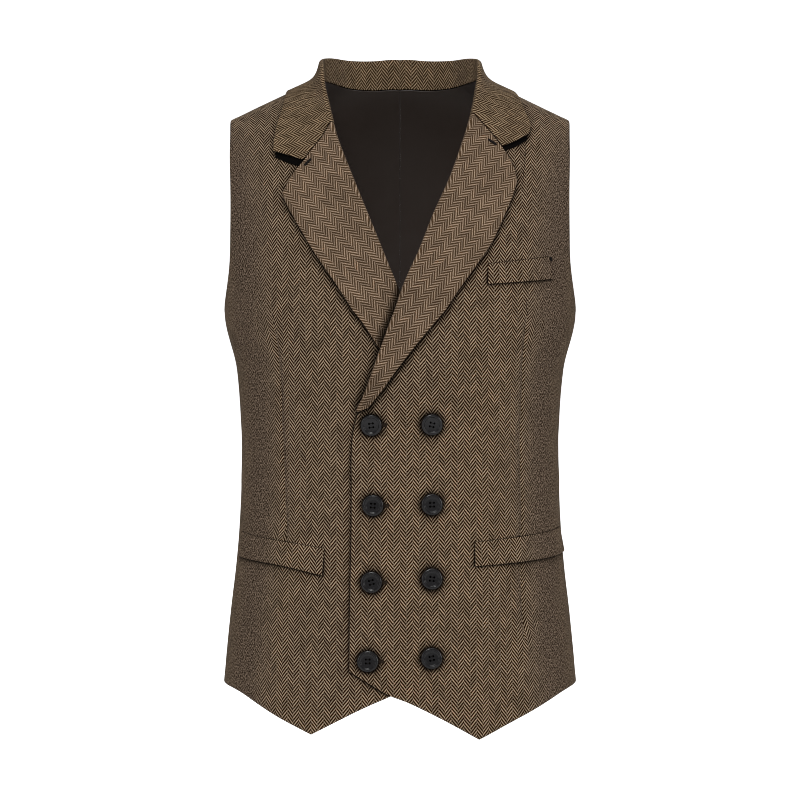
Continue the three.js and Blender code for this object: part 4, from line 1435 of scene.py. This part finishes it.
def notchShadowPiece(name, lines):
    places, _ = stripPlaces(lines, undercollar["step"], undercollar["depth"], undercollar["rim"])
    half = undercollar["cloth"] / 2
    out = undercollar["gap"] + half + unevenness(places)
    piece = laidCloth(name, places, out, half, weaveAt(places), [notchShadowFelt], undercollar["round"])
    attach(piece, "root")


notchShadowPiece("undercollarShadowLeft", undercollar["left"])
notchShadowPiece("undercollarShadowRight", undercollar["right"])

# Sewn tacks and buttonholes

stitching = {
    "radius": 0.4,
    "lanes": (-0.55, 0, 0.55),
    "lanePoints": 7,
    "laneRise": 1.2,  # in thread radii, over its sunken ends
    "laneSink": 0.4,
    "tacks": {
        "tackNotchLeft": [(83.5, -65.5), (91.2, -70.6)],
        "tackNotchRight": [(-84, -84.4), (-89.8, -90.6)],
        "tackWelt": [(142.6, -176.4), (143.8, -180)],
    },
    "holeStart": -7,  # from the middle of its button
    "holeEnd": 13.2,
    "holeHalfWidth": 0.9,
    "purlRadius": 0.21,
    "purlPitch": 0.62,
    "purlTurns": 8,
    # How a purl stitch crosses the slot's edge: outwards, and up from the cloth
    "purl": ((-0.75, -0.1), (-0.45, 0.3), (0, 0.42), (0.45, 0.3), (0.8, -0.12)),
    "cordPoints": 12,
    "cordPast": 0.4,
    "cordRise": 0.02,
}
rayStart = -1000  # in front of everything
threadSides = 2


# What Blender makes of a curve or a modifier, as a mesh of its own
def finishedMesh(maker, material):
    bpy.context.view_layer.update()
    shown = maker.evaluated_get(bpy.context.evaluated_depsgraph_get())
    mesh = bpy.data.meshes.new_from_object(shown)
    bpy.data.objects.remove(maker)
    mesh.materials.clear()
    mesh.materials.append(material)
    return mesh


# The outermost cloth seen from the front at x, z, and its normal
def topCloth(x, z):
    start = Vector((x, rayStart, z)) * millimetre
    hits = [tree.ray_cast(start, Vector((0, 1, 0))) for tree in clothTrees]
    hits = [hit for hit in hits if hit[0] is not None]
    point, normal, *_ = min(hits, key=lambda hit: hit[3])
    return np.array(point) / millimetre, np.array(normal)


def threadCurve(name, lines, radius, material):
    data = bpy.data.curves.new(name, "CURVE")
    data.dimensions = "3D"
    data.bevel_depth = radius * millimetre
    data.bevel_resolution = threadSides
    data.use_fill_caps = True
    for line in lines:
        spline = data.splines.new("POLY")
        spline.points.add(len(line) - 1)
        for point, place in zip(spline.points, line):
            point.co = (*(np.array(place) * millimetre), 1)
    maker = bpy.data.objects.new(name, data)
    scene.collection.objects.link(maker)
    mesh = finishedMesh(maker, material)
    mesh.polygons.foreach_set("use_smooth", [True] * len(mesh.polygons))
    return mesh


def layThread(name, lines, radius, material):
    piece = bpy.data.objects.new(name, threadCurve(name, lines, radius, material))
    scene.collection.objects.link(piece)
    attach(piece, "root")


# A tack is a few close stitches from one place to another, side by side
def addTack(name, start, end):
    start, end = np.array(start, float), np.array(end, float)
    side = np.array([start[1] - end[1], end[0] - start[0]]) / np.linalg.norm(end - start)
    radius = stitching["radius"]
    lines = []
    for lane in stitching["lanes"]:
        line = []
        for share in np.linspace(0, 1, stitching["lanePoints"]):
            x, z = start + (end - start) * share + side * lane
            point, normal = topCloth(x, z)
            rise = stitching["laneRise"] * math.sin(math.pi * share) - stitching["laneSink"]
            line.append(point + normal * radius * rise)
        lines.append(line)
    layThread(name, lines, radius, darkThread)


# Purl stitches round a slot, each over the slot's edge, and a cord along its middle
def addButtonhole(name, x, z):
    low, high, half = [stitching[key] for key in ("holeStart", "holeEnd", "holeHalfWidth")]
    pitch = stitching["purlPitch"]
    rimLine = [(across, half, 0, 1) for across in np.arange(low, high, pitch)]
    for turn in np.radians(np.linspace(90, -90, stitching["purlTurns"])[1:-1]):
        ahead, upward = math.cos(turn), math.sin(turn)
        rimLine.append((high + half * ahead, half * upward, ahead, upward))
    rimLine += [(across, -half, 0, -1) for across in np.arange(high, low, -pitch)]
    lines = []
    for across, up, outX, outZ in rimLine:
        line = []
        for out, lift in stitching["purl"]:
            point, normal = topCloth(x + across + outX * out, z + up + outZ * out)
            line.append(point + normal * lift)
        lines.append(line)
    cord = []
    for across in np.linspace(low, high + stitching["cordPast"], stitching["cordPoints"]):
        point, normal = topCloth(x + across, z)
        cord.append(point + normal * stitching["cordRise"])
    layThread(name, [*lines, cord], stitching["purlRadius"], holeThread)


clothTrees = [BVHTree.FromPolygons([vertex.co for vertex in piece.data.vertices],
                                   [face.vertices for face in piece.data.polygons])
              for piece in clothPieces]
for name, (start, end) in stitching["tacks"].items():
    addTack(name, start, end)
for row, (x, z) in enumerate(buttonPlaces["outer"], start=1):
    addButtonhole(f"buttonhole{row}", x, z)
print("stitching ready")

# Buttons

buttons = {
    "radius": 10.1,
    "height": 3.4,
    "rimWidth": 2.2,
    "slope": 1.7,  # across the slope from the rim down into the dish
    "dish": 1.0,
    "round": 1.5,
    "innerRound": 0.8,
    "dishRound": 0.5,
    "dishFalls": ((0.5, 0.08), (0, 0.12)),  # the dish sinks a little towards its middle
    "sides": 72,
    "gap": 0.5,
    "holeRadius": 1.02,
    "holeCircle": 2.5,
    "holeSides": 20,
    "pinLength": 20,
    "sharpAngle": 38,
    "threadRadius": 0.16,
    "threadLanes": (-0.18, 0.18),
    "threadFoot": -0.3,
    "threadFloor": 0.1,
    # A stitch from hole to middle: share of the way out, and rise over the dish
    "stitch": ((0.62, -0.35), (0.54, 0.02), (0.4, 0.12), (0, 0.14)),
    "spins": {"outer": [4, -7, 12, -3], "inner": [-9, 6, -4, 15]},
}
holeOffset = buttons["holeCircle"] / math.sqrt(2)


# Half a button's section from the middle of its underside to the middle of its dish
def roundedProfile():
    radius, height, corner, inner, small = [
        buttons[key] for key in ("radius", "height", "round", "innerRound", "dishRound")
    ]
    rimStart = radius - buttons["rimWidth"]
    floor = height - buttons["dish"]
    profile = [(0, 0)]
    bends = (
        (radius - corner, corner, corner, -90, 0, 6),
        (radius - corner, height - corner, corner, 0, 90, 6),
        (rimStart, height - inner, inner, 90, 150, 6),
        (rimStart - buttons["slope"], floor + small, small, -50, -90, 4),
    )
    for x, z, size, start, end, count in bends:
        for turn in np.radians(np.linspace(start, end, count)):
            profile.append((x + size * math.cos(turn), z + size * math.sin(turn)))
    return profile + [(radius * share, floor - fall) for share, fall in buttons["dishFalls"]]


def spun(profile, sides):
    mesh = bmesh.new()
    turns = [2 * math.pi * i / sides for i in range(sides)]
    rings = []
    for x, z in profile:
        places = [(x * math.cos(t), x * math.sin(t), z) for t in turns] if x else [(0, 0, z)]
        rings.append([mesh.verts.new(place) for place in places])
    for low, high in zip(rings, rings[1:]):
        for i in range(sides):
            j = i + 1
            corners = [low[i % len(low)], low[j % len(low)],
                       high[j % len(high)], high[i % len(high)]]
            mesh.faces.new(list(dict.fromkeys(corners)))
    bmesh.ops.recalc_face_normals(mesh, faces=mesh.faces)
    return mesh


def addObject(name, shape):
    data = bpy.data.meshes.new(name)
    shape.to_mesh(data)
    shape.free()
    made = bpy.data.objects.new(name, data)
    scene.collection.objects.link(made)
    return made


def buttonMesh():
    button = addObject("buttonDisc", spun(roundedProfile(), buttons["sides"]))
    pins = bmesh.new()
    radius = buttons["holeRadius"]
    for x in (-holeOffset, holeOffset):
        for y in (-holeOffset, holeOffset):
            bmesh.ops.create_cone(pins, cap_ends=True, segments=buttons["holeSides"],
                                  radius1=radius, radius2=radius, depth=buttons["pinLength"],
                                  matrix=Matrix.Translation((x, y, 0)))
    holePins = addObject("holePins", pins)
    cutter = button.modifiers.new("holes", "BOOLEAN")
    cutter.operation = "DIFFERENCE"
    cutter.object = holePins
    cutter.solver = "EXACT"
    result = finishedMesh(button, buttonHorn)
    bpy.data.objects.remove(holePins)
    result.transform(Matrix.Scale(millimetre, 4))
    result.set_sharp_from_angle(angle=math.radians(buttons["sharpAngle"]))
    return result


# Two stitches over the dish, each of two strands down through a pair of holes
def stitchMesh():
    floor = buttons["height"] - buttons["dish"] - buttons["threadFloor"]
    stitch = [(share, floor + rise) for share, rise in buttons["stitch"]]
    half = [(stitch[0][0], buttons["threadFoot"]), *stitch]
    across = [(-holeOffset * share, rise) for share, rise in half]
    across += [(holeOffset * share, rise) for share, rise in half[-2::-1]]
    lines = [[(x, y + lane, z) for x, z in across]
             for y in (-holeOffset, holeOffset) for lane in buttons["threadLanes"]]
    return threadCurve("buttonStitches", lines, buttons["threadRadius"], darkThread)


def placed(name, mesh, x, z, spin):
    at = frontPlace(x, z)
    normal = outward(at)
    point = surfacePoint(at) + normal * (lapLift(at) + buttons["gap"])
    turn = Vector((0, 0, 1)).rotation_difference(Vector(normal)).to_matrix().to_4x4()
    piece = bpy.data.objects.new(name, mesh.copy())
    move = Matrix.Translation(Vector(point) * millimetre)
    piece.data.transform(move @ turn @ Matrix.Rotation(spin, 4, "Z"))
    scene.collection.objects.link(piece)
    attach(piece, "root")
    return piece


buttonShape = buttonMesh()
stitchShape = stitchMesh()
for line, places in buttonPlaces.items():
    for row, (x, z) in enumerate(places, start=1):
        spin = math.radians(buttons["spins"][line][row - 1])
        button = placed(f"button{line.title()}{row}", buttonShape, x, z, spin)
        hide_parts(f"button_{line}_{row}")
        placed(f"stitches{line.title()}{row}", stitchShape, x, z, spin)
print("buttons ready")

# Stage, light and camera

studio = {
    "floorZ": -0.76,
    "halfWidth": 12,
    "front": -9,
    "bendStart": 2.2,  # the floor turns up into the backdrop from here
    "bendRadius": 2.5,
    "bendPoints": 24,
    "top": 9,
    "colour": (0.85, 0.85, 0.85, 1),
    "roughness": 0.95,
    "glow": 0.7,  # only seen by the camera, so the backdrop doesn't light the sides
    "ambient": 0.3,
}


white = (1, 1, 1, 1)


def addBackdrop():
    radius, start, floorZ = studio["bendRadius"], studio["bendStart"], studio["floorZ"]
    line = [(studio["front"], floorZ)]
    for turn in np.linspace(0, math.pi / 2, studio["bendPoints"]):
        line.append((start + radius * math.sin(turn), floorZ + radius * (1 - math.cos(turn))))
    line.append((start + radius, studio["top"]))
    half = studio["halfWidth"]
    points = [(x, y, z) for y, z in line for x in (-half, half)]
    faces = [(i, i + 1, i + 3, i + 2) for i in range(0, len(points) - 2, 2)]
    mesh = bpy.data.meshes.new("backdrop")
    mesh.from_pydata(points, [], faces)
    mesh.polygons.foreach_set("use_smooth", [True] * len(faces))
    backdrop = bpy.data.objects.new("backdrop", mesh)
    scene.collection.objects.link(backdrop)
    material, tree, surface = newMaterial("pale floor and backdrop")
    seen = addNode(tree, "ShaderNodeLightPath").outputs["Is Camera Ray"]
    setInputs(tree, surface, {
        "Base Color": studio["colour"],
        "Roughness": studio["roughness"],
        "Emission Color": white,
        "Emission Strength": calculate(tree, "MULTIPLY", seen, studio["glow"]),
    })
    mesh.materials.append(material)


def addWorld():
    world = bpy.data.worlds.new("studio")
    scene.world = world
    world.use_nodes = True
    tree = world.node_tree
    # Seen past the backdrop's ends it is white, but it lights the cloth only softly
    seen = addNode(tree, "ShaderNodeLightPath").outputs["Is Camera Ray"]
    strength = calculate(tree, "MULTIPLY_ADD", seen, 1 - studio["ambient"], studio["ambient"])
    setInputs(tree, tree.nodes["Background"], {"Color": white, "Strength": strength})


lamps = {
    "front": {"place": (-0.45, -2.9, 1.9), "size": 0.7, "watts": 54},
    "left": {"place": (-2.3, -2.4, 0.3), "size": 1.2, "watts": 13},
    "right": {"place": (2.3, -2.4, 0.3), "size": 1.2, "watts": 27},
    "top": {"place": (0.1, -0.6, 2.0), "size": 1.4, "watts": 11},
    "back": {"place": (0.4, 2.5, 1.3), "size": 1.4, "watts": 24},
}


lampAim = Vector((0, 0, -0.32))
view = {"place": (0, -3.5, -0.312), "lens": 162.4, "sensor": 36, "reach": 100}


def addLamps():
    for name, lamp in lamps.items():
        data = bpy.data.lights.new(name, "AREA")
        data.shape = "SQUARE"
        data.size = lamp["size"]
        data.energy = lamp["watts"]
        light = bpy.data.objects.new(name, data)
        light.location = lamp["place"]
        light.rotation_euler = (lampAim - light.location).to_track_quat("-Z", "Y").to_euler()
        scene.collection.objects.link(light)


def addCamera():
    data = bpy.data.cameras.new("camera")
    data.lens = view["lens"]
    data.sensor_width = view["sensor"]
    data.clip_end = view["reach"]
    camera = bpy.data.objects.new("camera", data)
    camera.location = view["place"]
    camera.rotation_euler = (math.pi / 2, 0, 0)
    scene.collection.objects.link(camera)
    scene.camera = camera


addBackdrop()
addWorld()
addLamps()
addCamera()
scene.view_settings.view_transform = "Standard"
scene.cycles.filter_width = 1.0
print("stage ready")
